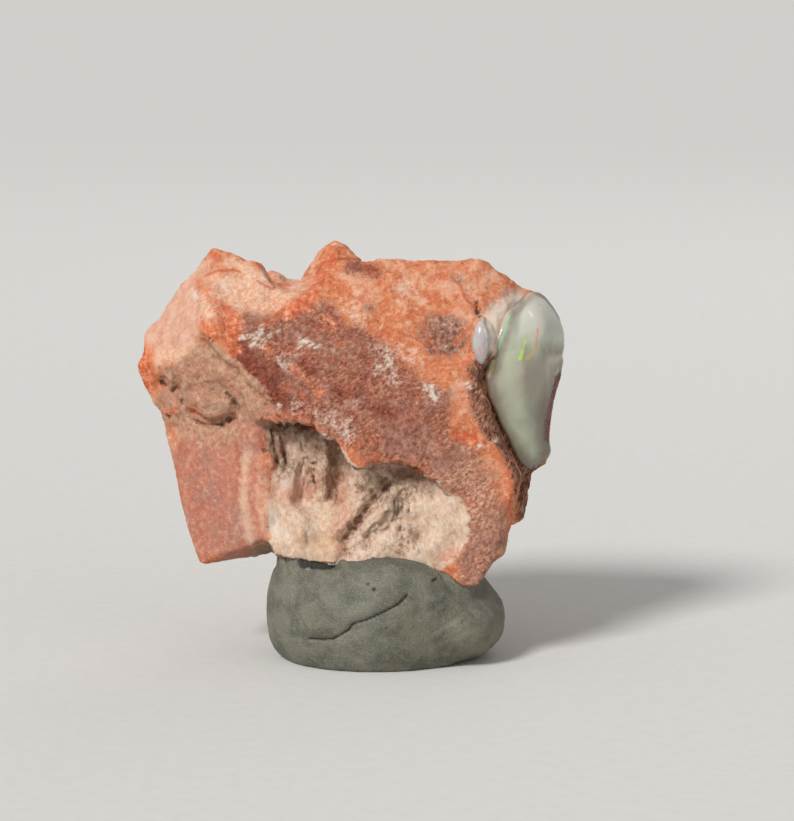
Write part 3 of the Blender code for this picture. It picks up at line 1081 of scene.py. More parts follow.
    def marked(self, bench: StoneBench, colour: Wire, veil: Wire) -> Wire:
        """The stone's colour with its stains, brown strip, veil, flecks, veins and soot, and painted shade in
        the strip's wider parts, in the chink and in hollows.

        Args:
            bench: The stone's bench.
            colour: The colour under the marks.
            veil: Share of the milky veil.

        Returns:
            The marked colour.
        """
        worn = bench.work("SUBTRACT", 1.0, bench.some(bench.middle, 0.5, 0.6, 0.55))
        stain = bench.times(bench.zone(Field.STAIN, 0.3, 1.4, 0.9), worn)
        colour = bench.mixed(stain, colour, bench.tones(bench.mottle, 0.36, 0.64, self.stain))
        bark = bench.tones(bench.strands, 0.34, 0.66, self.bark)
        # The brown strip, widened with painted shade below the opal and under the bead.
        colour = bench.mixed(bench.zone(Field.BARK, 0.2, 0.8), colour, bark)
        colour = bench.mixed(veil, colour, self.veil)
        broken = bench.times(bench.zone(Field.FLECK, 0.2, 0.5, 0.88), bench.ease(bench.fibre, 0.38, 0.52))
        colour = bench.mixed(broken, colour, self.fleck)
        line = bench.work("SUBTRACT", self.vein_half, bench.work("ABSOLUTE", bench.field(Field.DRAWN)))
        line = bench.times_plus(bench.centred(bench.fine), 0.25, line)
        line = bench.times(bench.ease(line, -0.05, 0.03), bench.ease(bench.field(Field.VEIN), -0.2, 0.0))
        colour = bench.mixed(bench.times(line, 0.6), colour, self.rust)
        # Dark cracks and dots, and painted shade in the chink between stone and putty.
        colour = bench.mixed(bench.zone(Field.SOOT, 0.08, 0.7, 0.75), colour, self.soot)
        # Painted shade: darker where the skin lies below its surroundings.
        wear = bench.some(bench.field(Field.WEAR), 0.02, 0.14, 0.45)
        colour = bench.mixed(wear, colour, self.cream_dark, Way.DARKEN)
        grey = bench.tones(bench.grit, 0.36, 0.66, (self.shade, self.light))
        return bench.mixed(0.42, colour, grey, Way.GLAZE)

    def surface(self, bench: StoneBench) -> Wire:
        """Fine relief of the stone: felted grain, pits and crumbs.

        Args:
            bench: The stone's bench.

        Returns:
            The bent normal.
        """
        height = bench.work("ADD", bench.times(bench.felt, 0.7), bench.times(bench.grit, 0.35))
        height = bench.work("ADD", height, bench.times(bench.fine, 0.4))
        pits = bench.some(bench.cells(3.2), 0.06, 0.2, 0.15)
        coarse = bench.relief(bench.work("ADD", height, pits), self.coarse_depth)
        return bench.relief(bench.cloud(Cloud(pitch=22.0, detail=2.0)), self.crumb_depth, coarse)

    def stripes(self) -> tuple[tuple[float, Paint], ...]:
        """Colours across the banded foot, from its outer side to the hollow.

        Returns:
            Places from 0 to 1, each with its colour.
        """
        return (
            (0.0, self.band_high),
            (0.05, self.band_low),
            (0.14, self.band_mid),
            (0.24, self.band_low),
            (0.33, self.band_mid),
            (0.41, self.band_rose),
            (0.47, self.band_rose),
            (0.53, self.band_mid),
            (0.6, self.band_low),
            (0.65, self.band_mid),
            (0.68, self.band_high),
            (0.72, self.band_mid),
            (0.77, self.band_mid),
            (0.81, self.band_high),
            (0.85, self.band_high),
            (0.92, self.band_white),
            (1.0, self.band_high),
        )


@dataclass(frozen=True)
class OpalFinish:
    """Milky opal with a few flashes of colour under its skin."""

    name: str = "milky_opal"
    milk: Tones = ((150, 152, 133), (171, 173, 153), (190, 192, 172))
    top_tone_and_light: Paint = (210, 206, 194)
    waist_tone_and_shade: Paint = (150, 139, 116)
    lilac: Paint = (162, 150, 142)
    tip: Paint = (156, 164, 142)
    sheen: Paint = (184, 189, 166)
    edge: Paint = (104, 82, 64)
    # Painted highlights.
    painted_highlight: Paint = (240, 242, 238)
    veil: Paint = (204, 184, 158)
    rind: Tones = ((104, 62, 52), (140, 88, 76), (168, 116, 102))
    dent: Paint = (118, 98, 70)
    cyan: Paint = (128, 214, 188)
    lime: Paint = (186, 222, 76)
    flame: Paint = (238, 116, 86)
    gold: Paint = (214, 186, 104)
    roughness: float = 0.16
    bending: float = 1.45
    glow_depth: float = 1.0
    glow_reach: Triple = (1.0, 0.95, 0.85)
    lowest: float = 14.0
    highest: float = 27.0

    def material(self) -> bpy.types.Material:
        """The opal's material.

        Returns:
            The material.
        """
        bench = Bench(self.name)
        middle = bench.cloud(Cloud(pitch=0.7, rough=0.5, twist=0.6))
        fine = bench.cloud(Cloud(pitch=3.0, slant=15.0, stretch=(1.0, 1.0, 0.3)))
        crumbly = bench.cloud(Cloud(pitch=4.0, detail=6.0, rough=0.75))
        colour = self.body(bench, middle, bench.times(bench.centred(middle), 1.6))
        colour = self.flashes(bench, colour, bench.times(bench.centred(fine), 0.22))
        rind = bench.times_plus(bench.centred(crumbly), 1.2, bench.field(Field.RIND))
        rind = bench.ease(rind, -0.12, 0.12)
        ripple = bench.work("ADD", bench.times(middle, 0.5), bench.times(fine, 0.05))
        rough = bench.times_plus(middle, 0.16, self.roughness - 0.08)
        return bench.finish(
            {
                "Base Color": bench.mixed(rind, colour, bench.tones(crumbly, 0.36, 0.64, self.rind)),
                "Roughness": bench.times_plus(rind, 0.6, rough),
                "Specular IOR Level": 0.5,
                "IOR": self.bending,
                "Subsurface Weight": bench.times(bench.work("SUBTRACT", 1.0, rind), 0.4),
                "Subsurface Scale": self.glow_depth * MM,
                "Subsurface Radius": self.glow_reach,
                "Coat Weight": 0.3,
                "Coat Roughness": 0.08,
                "Normal": bench.relief(bench.times(crumbly, rind), 0.2, bench.relief(ripple, 0.05)),
            }
        )

    def body(self, bench: Bench, middle: Wire, drift: Wire) -> Wire:
        """Milky body colour: belt, lilac patches, tip, top, sheen, dark edge and veil; the pale top and the
        darker belt are partly painted light and shade.

        Args:
            bench: The opal's bench.
            middle: The middling clouds.
            drift: The same clouds about 0, which move the borders of the zones.

        Returns:
            The colour.
        """
        colour = bench.tones(bench.cloud(Cloud(pitch=0.25, detail=3.0)), 0.4, 0.6, self.milk)
        level = bench.times_plus(drift, 0.12, bench.field(Field.HEIGHT))
        # The paler top and the darker belt follow height: partly the opal's own colour, partly painted light
        # and shade.
        belt = bench.times(bench.ease(level, 0.3, 0.5), bench.ease(level, 0.74, 0.56))
        colour = bench.mixed(bench.times(belt, 0.75), colour, self.waist_tone_and_shade)
        patch = bench.times(belt, bench.ease(middle, 0.44, 0.62))
        colour = bench.mixed(bench.times(patch, 0.8), colour, self.lilac)
        colour = bench.mixed(bench.some(level, 0.22, 0.04, 0.8), colour, self.tip)
        colour = bench.mixed(bench.some(level, 0.7, 0.9, 0.85), colour, self.top_tone_and_light)
        glow = bench.work("ADD", bench.field(Field.HAZE), drift)
        colour = bench.mixed(bench.some(glow, -0.6, 0.8, 0.7), colour, self.sheen)
        shown = bench.times_plus(drift, 0.3, bench.field(Field.SHOWN))
        colour = bench.mixed(bench.some(shown, 1.0, -0.1, 0.75), colour, self.edge)
        veil = bench.times_plus(drift, 0.6, bench.field(Field.VEIL))
        return bench.mixed(bench.some(veil, -0.4, 0.5, 0.75), colour, self.veil)

    def flashes(self, bench: Bench, colour: Wire, sway: Wire) -> Wire:
        """The opal's colour with its flashes, dents and painted highlights.

        Args:
            bench: The opal's bench.
            colour: The colour under them.
            sway: Fine clouds about 0, which fray their edges.

        Returns:
            The colour.
        """
        for field, tint, soft, most in (
            (Field.RIDGE, self.cyan, 0.12, 0.75),
            (Field.LIME, self.lime, 0.09, 0.85),
            (Field.FLAME, self.flame, 0.08, 0.8),
            (Field.GLINT, self.gold, 0.12, 0.6),
            (Field.DENT, self.dent, 0.45, 0.5),
            # Painted highlights.
            (Field.FLECK, self.painted_highlight, 0.1, 0.8),
        ):
            depth = bench.work("ADD", bench.field(field), sway)
            colour = bench.mixed(bench.some(depth, -soft, soft, most), colour, tint)
        return colour


@dataclass(frozen=True)
class PuttyFinish:
    """Dull grey-green reusable putty, speckled and a little dusty."""

    body: Paint = (118, 116, 102)
    dark: Paint = (94, 93, 81)
    shadow: Paint = (78, 77, 67)
    light: Paint = (134, 133, 119)
    straw: Paint = (126, 117, 92)
    crumb: Paint = (166, 161, 142)
    # Painted shade in the pits, the crease and the chink.
    pit_shade: Paint = (24, 23, 20)
    roughness: float = 0.62

    def material(self) -> bpy.types.Material:
        """The putty's material.

        Returns:
            The material.
        """
        bench = Bench("grey_putty")
        wide = bench.cloud(Cloud(pitch=0.16))
        broad = bench.cloud(Cloud(pitch=0.5, detail=5.0))
        fine = bench.cloud(Cloud(pitch=5.0, detail=5.0, rough=0.6))
        grit = bench.cloud(Cloud(pitch=9.0, detail=3.0, rough=0.7))
        smear = bench.cloud(Cloud(pitch=2.4, slant=-30.0, stretch=(0.3, 1.0, 1.0)))
        colour = bench.mixed(bench.ease(broad, 0.4, 0.62), self.body, self.dark)
        fleck = bench.work("ADD", bench.field(Field.FLECK), bench.times(bench.centred(fine), 0.6))
        for cloud, low, high, most, tint in (
            (smear, 0.46, 0.7, 0.35, self.light),
            (wide, 0.5, 0.72, 0.35, self.straw),
            (grit, 0.54, 0.66, 0.42, self.crumb),
            (grit, 0.45, 0.34, 0.6, self.shadow),
            (fine, 0.4, 0.3, 0.4, self.dark),
            # Painted shade in the pits, the crease and the chink.
            (bench.field(Field.SOOT), -0.08, 0.08, 0.85, self.pit_shade),
            (fleck, -0.15, 0.15, 0.6, self.crumb),
        ):
            colour = bench.mixed(bench.some(cloud, low, high, most), colour, tint)
        height = bench.work("ADD", bench.times(fine, 0.7), bench.times(smear, 0.5))
        return bench.finish(
            {
                "Base Color": colour,
                "Roughness": bench.times_plus(fine, 0.25, self.roughness - 0.12),
                "Specular IOR Level": 0.35,
                "Normal": bench.relief(grit, 0.04, bench.relief(height, 0.07)),
            }
        )


@dataclass(frozen=True)
class FloorFinish:
    """Plain pale floor with a faint grain."""

    tone: Paint = (214, 212, 208)
    shade: Paint = (211, 209, 205)

    def material(self) -> bpy.types.Material:
        """The floor's material.

        Returns:
            The material.
        """
        bench = Bench("pale_floor")
        speck = bench.cloud(Cloud(pitch=0.9, detail=3.0))
        colour = bench.mixed(bench.ease(speck, 0.3, 0.7), self.tone, self.shade)
        return bench.finish({"Base Color": colour, "Roughness": 1.0, "Specular IOR Level": 0.0})


@dataclass
class HostRock:
    """The broken lump of banded ironstone."""

    sheet: Sheet
    voxel: float = 0.148
    even_rounds: int = 10
    corner_gain: float = 0.6
    sharpness: float = 0.4
    lip_width: float = 0.45
    lip_rise: float = 0.24
    lip_sway: float = 0.12
    kept_share: float = 0.66
    opal_spread: float = 0.4
    opal_sink: Triple = (-0.56, 0.52, -0.04)
    bead_spread: float = 0.3
    bead_sink: Triple = (-0.1, 0.75, 0.0)
    cream: Outline = Outline(
        (
            (-9.2, 17.7), (-8.4, 17.5), (-7.5, 17.6), (-6.3, 17.6), (-5.6, 17.1), (-4.7, 16.7), (-4.1, 16.4),
            (-2.9, 15.4), (-2.4, 14.6), (-1.7, 14.0), (-0.9, 14.4), (0.0, 14.5), (0.8, 14.4), (1.8, 14.3),
            (2.7, 13.7), (3.5, 13.1), (4.2, 12.6), (5.0, 12.2), (5.8, 11.9), (6.2, 11.0), (6.6, 10.3),
            (6.2, 9.8), (6.6, 9.3), (6.4, 8.7), (6.0, 8.1), (5.6, 7.4), (5.0, 6.9), (4.2, 6.3), (2.7, 4.2),
            (-9.7, 4.2), (-9.2, 8.3), (-8.5, 8.8), (-8.8, 11.7), (-8.6, 13.2), (-8.2, 14.3), (-8.8, 15.5),
        )
    )
    dusk: Outline = Outline(
        (
            (-11.5, 25.1), (-10.5, 25.7), (-9.2, 25.4), (-7.8, 25.7), (-6.3, 26.3), (-5.0, 26.9),
            (-3.9, 26.6), (-2.9, 25.3), (-1.0, 24.4), (0.2, 23.5), (1.6, 22.3), (2.6, 21.1), (3.5, 20.4),
            (4.9, 19.9),
            (5.1, 18.9), (5.1, 17.4), (5.9, 16.5), (6.8, 15.9), (7.5, 15.0), (8.2, 13.6), (8.5, 12.5),
            (9.1, 10.9), (9.5, 8.7), (8.7, 7.0), (7.6, 5.3), (6.9, 4.6), (6.1, 4.6), (5.6, 5.8), (5.6, 7.0),
            (5.9, 8.7), (5.8, 10.2), (5.3, 11.6), (4.4, 12.0), (3.0, 13.0), (1.8, 13.8), (0.8, 14.2),
            (-0.7, 14.3), (-1.7, 14.6), (-2.7, 15.2), (-3.6, 16.0), (-5.0, 16.8), (-6.3, 17.7), (-7.8, 17.8),
            (-9.2, 18.7), (-10.4, 20.2), (-11.3, 21.8), (-11.7, 23.0), (-11.3, 24.0),
        )
    )
    salmon: Outline = Outline(
        (
            (-12.2, 30.2), (-9.2, 29.6), (-7.5, 28.3), (-6.0, 28.3), (-5.6, 27.6), (-7.8, 26.0), (-9.7, 25.9),
            (-10.8, 26.2), (-11.6, 25.9), (-12.6, 25.2), (-13.6, 25.0), (-14.1, 25.6), (-14.2, 27.2),
            (-13.6, 28.6),
        )
    )
    pale: Outline = Outline(
        (
            (-12.9, 30.1), (-13.5, 28.7), (-14.1, 26.8), (-13.9, 25.0), (-13.9, 23.9), (-15.4, 23.2),
            (-17.2, 23.0), (-18.6, 23.8), (-16.5, 26.8), (-14.6, 29.4),
        )
    )
    cheek: Outline = Outline(
        (
            (-17.8, 22.2), (-17.6, 23.4), (-15.6, 24.0), (-14.2, 24.8), (-13.8, 23.9), (-14.5, 22.8),
            (-15.6, 22.0), (-17.0, 21.6),
        )
    )
    beige: Outline = Outline(
        (
            (-17.1, 21.5), (-15.6, 22.0), (-14.5, 22.8), (-13.7, 24.0), (-12.1, 23.0), (-10.9, 22.0),
            (-9.8, 20.9), (-8.9, 19.8), (-8.2, 18.9), (-7.7, 18.3), (-8.8, 17.9), (-9.2, 17.1),
            (-10.2, 15.6), (-11.6, 14.0), (-13.6, 14.6), (-15.4, 15.6), (-16.8, 16.4), (-17.2, 19.1),
            (-16.6, 20.2),
        )
    )
    bands: Outline = Outline(
        (
            (-16.9, 17.2), (-15.6, 16.9), (-14.2, 16.2), (-12.4, 15.6), (-11.0, 16.1), (-10.2, 17.4),
            (-9.1, 17.6), (-8.8, 15.5), (-8.5, 13.2), (-8.2, 10.2), (-7.9, 8.9), (-9.7, 6.8),
            (-14.6, 5.2), (-16.4, 11.7), (-17.4, 16.2),
        )
    )
    veil: Outline = Outline(
        (
            (7.5, 25.4), (8.1, 26.2), (8.9, 26.9), (10.4, 27.6), (10.6, 26.6), (9.6, 25.2), (8.9, 23.6),
            (8.4, 22.8), (7.8, 23.0), (7.6, 24.2),
        )
    )
    # The brown strip, widened with painted shade on the dark rock below the opal and under the bead.
    bark: Outline = Outline(
        (
            (6.2, 21.9), (6.9, 22.0), (7.4, 22.6), (7.9, 22.9), (8.7, 22.9), (8.6, 20.4), (9.0, 19.2),
            (9.7, 17.7), (10.4, 16.4), (11.2, 14.9),
            (12.4, 14.2), (11.6, 12.6), (11.2, 10.2), (10.0, 10.0), (9.95, 12.2), (9.9, 13.1), (9.6, 13.5),
            (9.0, 14.6), (8.5, 15.5), (8.1, 16.0), (7.5, 16.5), (7.2, 17.2), (6.9, 18.1), (6.6, 19.1),
            (6.4, 20.2),
        )
    )
    stain: Strokes = (
        Stroke(((4.2, 24.3), (4.8, 23.9)), 1.55),
        Stroke(((3.2, 24.0), (3.8, 23.2)), 0.8),
        Stroke(((-1.1, 26.2), (-0.8, 26.1)), 0.16),
        Stroke(((5.4, 28.4), (5.6, 28.3)), 0.12),
        Stroke(((8.2, 26.4), (8.9, 27.0), (9.8, 27.4)), 0.22),
    )
    ember: Strokes = (
        Stroke(((-14.0, 28.1), (-13.4, 27.4)), 0.3),
        Stroke(((-13.2, 27.0), (-12.3, 26.4)), 0.26),
        Stroke(((-12.2, 26.0), (-11.6, 25.3), (-11.6, 24.2)), 0.6),
        Stroke(((-13.5, 24.8), (-12.7, 24.3)), 0.5),
        Stroke(((-11.7, 23.4), (-11.3, 22.9)), 0.3),
        Stroke(((-12.6, 30.2),), 0.5),
        Stroke(((-8.8, 23.2), (-8.1, 22.9)), 0.2),
        Stroke(((-4.3, 25.3), (-3.9, 24.9)), 0.28),
        Stroke(((-16.3, 17.3), (-15.6, 15.9)), 0.14),
        Stroke(((-9.0, 16.6), (-8.9, 14.6)), 0.2),
        Stroke(((-13.0, 28.7), (-12.2, 29.0), (-11.3, 29.0)), 0.14),
        Stroke(((-9.6, 29.5), (-8.8, 29.1)), 0.3),
        Stroke(((-8.4, 28.2), (-7.4, 27.6)), 0.16),
        Stroke(((-18.2, 22.4), (-18.0, 20.6)), 0.85),
        Stroke(((-7.2, 25.9), (-5.6, 27.0), (-4.6, 28.4), (-3.7, 30.0)), 0.55),
        Stroke(((-16.4, 18.2), (-15.8, 18.5)), 0.16),
        Stroke(((-14.5, 18.6), (-14.2, 18.4)), 0.16),
        Stroke(((5.4, 16.8), (6.4, 16.5), (7.2, 16.0)), 0.5),
        Stroke(((9.0, 15.0), (9.6, 13.6), (9.5, 11.6)), 0.32),
        Stroke(((4.3, 6.7), (5.1, 6.1)), 0.4),
        Stroke(((-6.8, 21.7), (-5.8, 20.8), (-4.8, 19.7)), 0.06),
        Stroke(((-7.6, 22.9), (-7.0, 23.0)), 0.1),
        Stroke(((-6.8, 6.9), (-4.8, 6.8), (-3.2, 7.4)), 0.3),
        Stroke(((-13.9, 7.0), (-12.4, 7.3)), 0.16),
    )
    blush: Strokes = (
        Stroke(((-8.9, 12.7), (-7.0, 12.2), (-6.2, 12.6)), 0.9),
        Stroke(((-3.5, 13.2), (-3.0, 10.4)), 0.7),
        Stroke(((-8.2, 16.0), (-8.4, 14.0)), 0.6),
        Stroke(((-3.4, 9.6), (-3.2, 7.8)), 0.45),
        Stroke(((-5.8, 13.8), (-5.2, 13.2)), 0.35),
        Stroke(((4.2, 7.4), (5.4, 7.6)), 0.4),
    )
    fleck: Strokes = (
        Stroke(((-10.7, 23.9), (-9.8, 24.1), (-9.3, 24.3)), 0.05),
        Stroke(((-10.0, 23.4), (-9.6, 24.0)), 0.1),
        Stroke(((-9.3, 23.4), (-8.8, 24.0)), 0.17),
        Stroke(((-8.8, 24.0), (-8.3, 24.4), (-8.0, 24.5)), 0.1),
        Stroke(((-9.3, 24.7), (-9.1, 24.9)), 0.06),
        Stroke(((-6.5, 23.3), (-6.1, 23.7), (-5.6, 23.5), (-5.1, 23.3)), 0.14),
        Stroke(((-8.2, 22.5), (-7.6, 21.8)), 0.03),
        Stroke(((-3.5, 18.9),), 0.12),
        Stroke(((0.1, 22.9), (0.4, 22.3)), 0.16),
        Stroke(((0.4, 22.4), (0.6, 21.8), (0.7, 21.1)), 0.14),
        Stroke(((-0.7, 21.3), (-0.1, 21.6), (0.4, 21.9)), 0.1),
        Stroke(((2.2, 22.4), (2.3, 22.1)), 0.12),
        Stroke(((3.0, 20.2), (3.5, 19.9), (3.9, 19.3)), 0.08),
        Stroke(((3.6, 20.2), (3.4, 19.7)), 0.06),
        Stroke(((6.9, 15.8), (7.6, 15.75), (8.0, 15.9), (8.5, 16.2)), 0.08),
        Stroke(((3.9, 12.7), (4.1, 13.0)), 0.1),
        Stroke(((-4.7, 16.7), (-4.1, 16.3)), 0.07),
        Stroke(((-3.1, 16.7), (-2.9, 16.4)), 0.16),
        Stroke(((-14.4, 27.7), (-14.2, 26.9)), 0.07),
        Stroke(((-12.1, 27.9), (-11.9, 27.5)), 0.12),
        Stroke(((-14.0, 15.95), (-13.8, 15.9)), 0.06),
        Stroke(((6.35, 20.6), (6.4, 20.3)), 0.15),
        Stroke(((-7.9, 18.9),), 0.08),
        Stroke(((-15.0, 10.0),), 0.12),
    )
    cracks: Strokes = (
        Stroke(((6.95, 26.6), (7.05, 26.0), (7.2, 25.6)), 0.07, -0.12),
        Stroke(((-13.8, 24.2), (-12.9, 23.8)), 0.07, -0.12),
        Stroke(((-14.4, 17.8), (-13.7, 17.5), (-13.0, 17.4)), 0.08, -0.12),
        Stroke(((-12.8, 17.4), (-12.2, 17.4)), 0.07, -0.12),
        Stroke(((-11.8, 17.6), (-11.3, 17.9)), 0.07, -0.12),
        Stroke(((-11.2, 18.6), (-11.3, 19.2), (-11.9, 19.8)), 0.05, -0.08),
        Stroke(((-5.9, 14.9), (-5.6, 14.4), (-5.2, 14.5)), 0.08, -0.16),
        Stroke(((-6.3, 15.8), (-6.1, 15.1)), 0.08, -0.16),
        Stroke(((-5.4, 13.6), (-5.3, 12.9)), 0.06, -0.1),
    )
    soot_dots: Strokes = (
        Stroke(((-16.8, 20.6), (-16.5, 20.4)), 0.13, -0.18),
        Stroke(((-16.0, 20.0), (-15.6, 20.2)), 0.15, -0.2),
        Stroke(((-15.3, 19.2),), 0.12, -0.14),
        Stroke(((-14.1, 20.8), (-13.9, 21.1)), 0.09, -0.1),
        Stroke(((-13.0, 20.0),), 0.09, -0.08),
        Stroke(((-16.3, 18.0),), 0.14, -0.16),
        Stroke(((-9.6, 13.9),), 0.14, -0.14),
        Stroke(((-9.1, 15.4),), 0.12, -0.1),
        Stroke(((0.5, 5.6),), 0.1, -0.1),
    )
    forms: Strokes = (
        Stroke(((-12.8, 19.2),), 1.3, -0.42),
        Stroke(((-11.6, 18.4), (-12.6, 17.7)), 0.5, 0.1),
        Stroke(((-9.8, 16.45),), 0.35, -0.1),
        Stroke(((-4.5, 16.4), (-4.4, 14.4), (-4.55, 12.6), (-4.7, 11.8)), 0.3, 0.22),
        Stroke(((-3.95, 15.3), (-3.8, 14.6)), 0.4, -0.18),
        Stroke(((-3.8, 13.6), (-3.95, 12.8)), 0.36, -0.26),
        Stroke(((-4.1, 12.3), (-4.15, 12.0)), 0.2, -0.2),
        Stroke(((-0.7, 11.8), (-1.2, 11.1)), 0.5, -0.1),
        Stroke(((-1.5, 10.6), (-1.9, 10.1)), 0.42, -0.2),
        Stroke(((-2.2, 9.7), (-2.9, 8.9)), 0.2, -0.12),
        Stroke(((-8.5, 16.9), (-8.2, 15.6), (-7.8, 14.4)), 0.14, -0.22),
        Stroke(((-7.8, 16.9), (-7.5, 15.6), (-7.3, 14.6)), 0.14, -0.2),
        Stroke(((-8.1, 16.8), (-7.9, 15.4), (-7.5, 14.2)), 0.14, 0.14),
        Stroke(((-5.7, 15.9), (-5.4, 15.2)), 0.3, 0.2),
        Stroke(((1.4, 12.4), (1.3, 10.0), (1.5, 8.2)), 0.18, -0.1),
        Stroke(((2.4, 11.8), (2.6, 9.8), (2.9, 8.0)), 0.18, -0.08),
        Stroke(((0.7, 12.6), (0.5, 10.8), (0.7, 9.0)), 0.22, 0.12),
        Stroke(((-3.0, 7.9), (-2.0, 8.3), (-1.3, 8.9)), 0.1, -0.16),
        Stroke(((-9.4, 22.4), (-8.4, 23.0), (-7.4, 22.8)), 0.5, 0.12),
        Stroke(((8.3, 25.4), (8.3, 24.2), (8.15, 22.8)), 0.45, 0.35),
    )
    stripe: Strokes = (
        Stroke(((-10.4, 15.1), (-10.6, 13.2), (-10.6, 11.7), (-10.4, 10.2), (-10.0, 8.7)), 0.28),
        Stroke(((-9.4, 13.2), (-9.6, 11.7), (-9.2, 10.2), (-8.75, 9.05)), 0.12),
        Stroke(((-8.6, 10.7), (-8.3, 9.8), (-8.0, 9.1)), 0.34),
        Stroke(((-7.8, 12.6), (-7.2, 13.2)), 0.3),
    )
    ochre: Strokes = (
        Stroke(((-6.2, 8.2), (-4.6, 8.4)), 0.7),
        Stroke(((-4.4, 12.0), (-4.2, 10.4)), 0.35),
        Stroke(((-6.8, 6.9), (-4.6, 6.9)), 0.5),
    )
    haze: Strokes = (
        Stroke(((-7.9, 22.4), (-7.3, 21.8)), 0.4),
        Stroke(((-7.8, 22.7), (-6.7, 22.7)), 0.2),
        Stroke(((-9.2, 28.6), (-8.0, 28.2), (-7.2, 28.5)), 0.35),
        Stroke(((-14.2, 10.0), (-13.8, 8.4)), 0.3),
        Stroke(((-9.9, 16.6), (-9.85, 16.3)), 0.16),
        Stroke(((-0.4, 23.2), (0.8, 22.9)), 0.35),
        Stroke(((0.5, 22.8), (0.3, 21.8), (0.6, 20.8)), 0.35),
        Stroke(((1.0, 22.8), (2.0, 22.2)), 0.3),
        Stroke(((2.2, 23.0), (2.3, 22.2)), 0.4),
        Stroke(((3.2, 20.3), (3.8, 19.9)), 0.3),
        Stroke(((-5.0, 18.2), (-4.2, 17.6)), 0.4),
        Stroke(((-6.9, 18.9), (-6.4, 18.7)), 0.35),
        Stroke(((-2.8, 17.2), (-2.6, 16.2)), 0.45),
        Stroke(((-2.6, 26.0), (-2.0, 25.3)), 0.5),
        Stroke(((-2.2, 19.4), (-1.6, 18.6)), 0.3),
        Stroke(((1.4, 27.7), (1.8, 27.5)), 0.2),
        Stroke(((-5.0, 28.4), (-5.6, 27.2)), 0.4),
    )
    # Grime and painted shade under the lip, in the grooves and beside the ribs.
    grime: Strokes = (
        Stroke(((-8.7, 17.4), (-8.5, 16.0), (-8.1, 14.9), (-7.6, 14.2)), 0.75),
        Stroke(((-8.0, 17.4), (-6.6, 17.4), (-5.4, 17.0), (-4.2, 16.2)), 0.55),
        Stroke(((-5.0, 16.0), (-4.6, 15.2)), 0.2),
        Stroke(((-3.9, 15.8), (-3.8, 13.6), (-4.1, 12.0)), 0.42),
        Stroke(((-5.9, 14.9), (-5.6, 14.3), (-5.1, 14.6)), 0.12),
        Stroke(((-1.0, 11.3), (-1.6, 10.5)), 0.24),
        Stroke(((-1.6, 10.4), (-2.3, 9.5), (-3.0, 8.8)), 0.14),
        Stroke(((-1.6, 12.8), (-0.8, 12.4), (-0.2, 11.6)), 0.2),
        Stroke(((-0.9, 14.1), (-0.2, 13.4), (0.2, 12.6)), 0.26),
        Stroke(((0.4, 14.2), (2.0, 13.8), (3.4, 12.8)), 0.55),
        Stroke(((1.0, 12.9), (0.8, 11.4)), 0.3),
        Stroke(((2.3, 9.4), (2.5, 8.2)), 0.16),
        Stroke(((1.2, 8.2), (1.3, 7.4)), 0.14),
        Stroke(((-3.0, 7.5), (-2.2, 7.9), (-1.4, 8.3)), 0.12),
    )
    veins: Strokes = (
        Stroke(((-13.5, 28.6), (-12.7, 29.0), (-11.4, 29.1), (-10.9, 28.9)), 0.5),
        Stroke(((-9.5, 28.2), (-9.0, 27.9), (-8.4, 27.6), (-8.0, 28.0), (-7.1, 27.9)), 0.5),
        Stroke(((-5.1, 28.8), (-4.6, 29.6), (-3.4, 29.9), (-2.2, 29.9)), 0.5),
        Stroke(((-9.4, 25.0), (-8.6, 25.3), (-7.6, 26.1)), 0.5),
        Stroke(((1.5, 24.2), (2.6, 23.8), (3.3, 23.2)), 0.5),
        Stroke(((5.0, 28.6), (5.8, 27.9), (6.1, 26.9), (6.9, 26.2)), 0.5),
        Stroke(((-11.2, 16.0), (-11.0, 15.2)), 0.5),
    )
    rough: Strokes = (
        Stroke(((-8.6, 17.0), (-8.2, 15.0), (-7.8, 14.4)), 0.9),
        Stroke(((-6.0, 15.6), (-5.4, 13.4)), 0.7),
        Stroke(((-1.8, 12.9), (-0.4, 12.4), (0.2, 11.0), (-1.4, 9.6)), 0.9),
        Stroke(((1.2, 12.0), (1.6, 9.4)), 0.6),
    )
    rim: Strokes = (
        Stroke(((-9.3, 17.9), (-7.6, 17.9), (-6.2, 17.9)), 0.2),
        Stroke(((-5.4, 17.3), (-4.2, 16.6)), 0.26),
        Stroke(((-3.1, 15.9), (-2.4, 15.0), (-1.7, 14.4), (-0.9, 14.7)), 0.45),
        Stroke(((0.4, 14.6), (1.2, 14.6)), 0.16),
        Stroke(((2.0, 14.4), (3.3, 13.5)), 0.2),
        Stroke(((4.3, 6.9), (5.0, 6.4)), 0.2),
    )
    brick: Strokes = (
        Stroke(((-10.8, 22.7), (-9.6, 21.4), (-8.8, 20.1), (-7.9, 19.2)), 0.8),
        Stroke(((-8.4, 22.0), (-7.9, 21.0)), 0.4),
        Stroke(((-6.2, 22.2), (-5.6, 21.4)), 0.4),
        Stroke(((-3.6, 19.9), (-2.0, 19.7)), 0.35),
        Stroke(((-1.6, 18.8), (0.6, 18.2)), 0.35),
        Stroke(((5.0, 17.0), (6.0, 16.4)), 0.3),
        Stroke(((-0.6, 29.0), (-2.6, 29.4)), 0.35),
    )
    lip: Route = (
        (-9.5, 17.8), (-8.4, 17.6), (-7.5, 17.7), (-6.3, 17.7), (-5.6, 17.1), (-4.1, 16.5), (-2.9, 15.5),
        (-2.4, 14.7), (-1.7, 14.1), (-0.9, 14.5), (0.8, 14.5), (1.8, 14.3), (2.7, 13.8), (3.5, 13.2),
        (4.2, 12.7), (5.0, 12.1), (5.9, 11.8), (6.3, 10.4), (6.4, 9.4), (5.9, 8.0), (4.6, 6.6),
    )
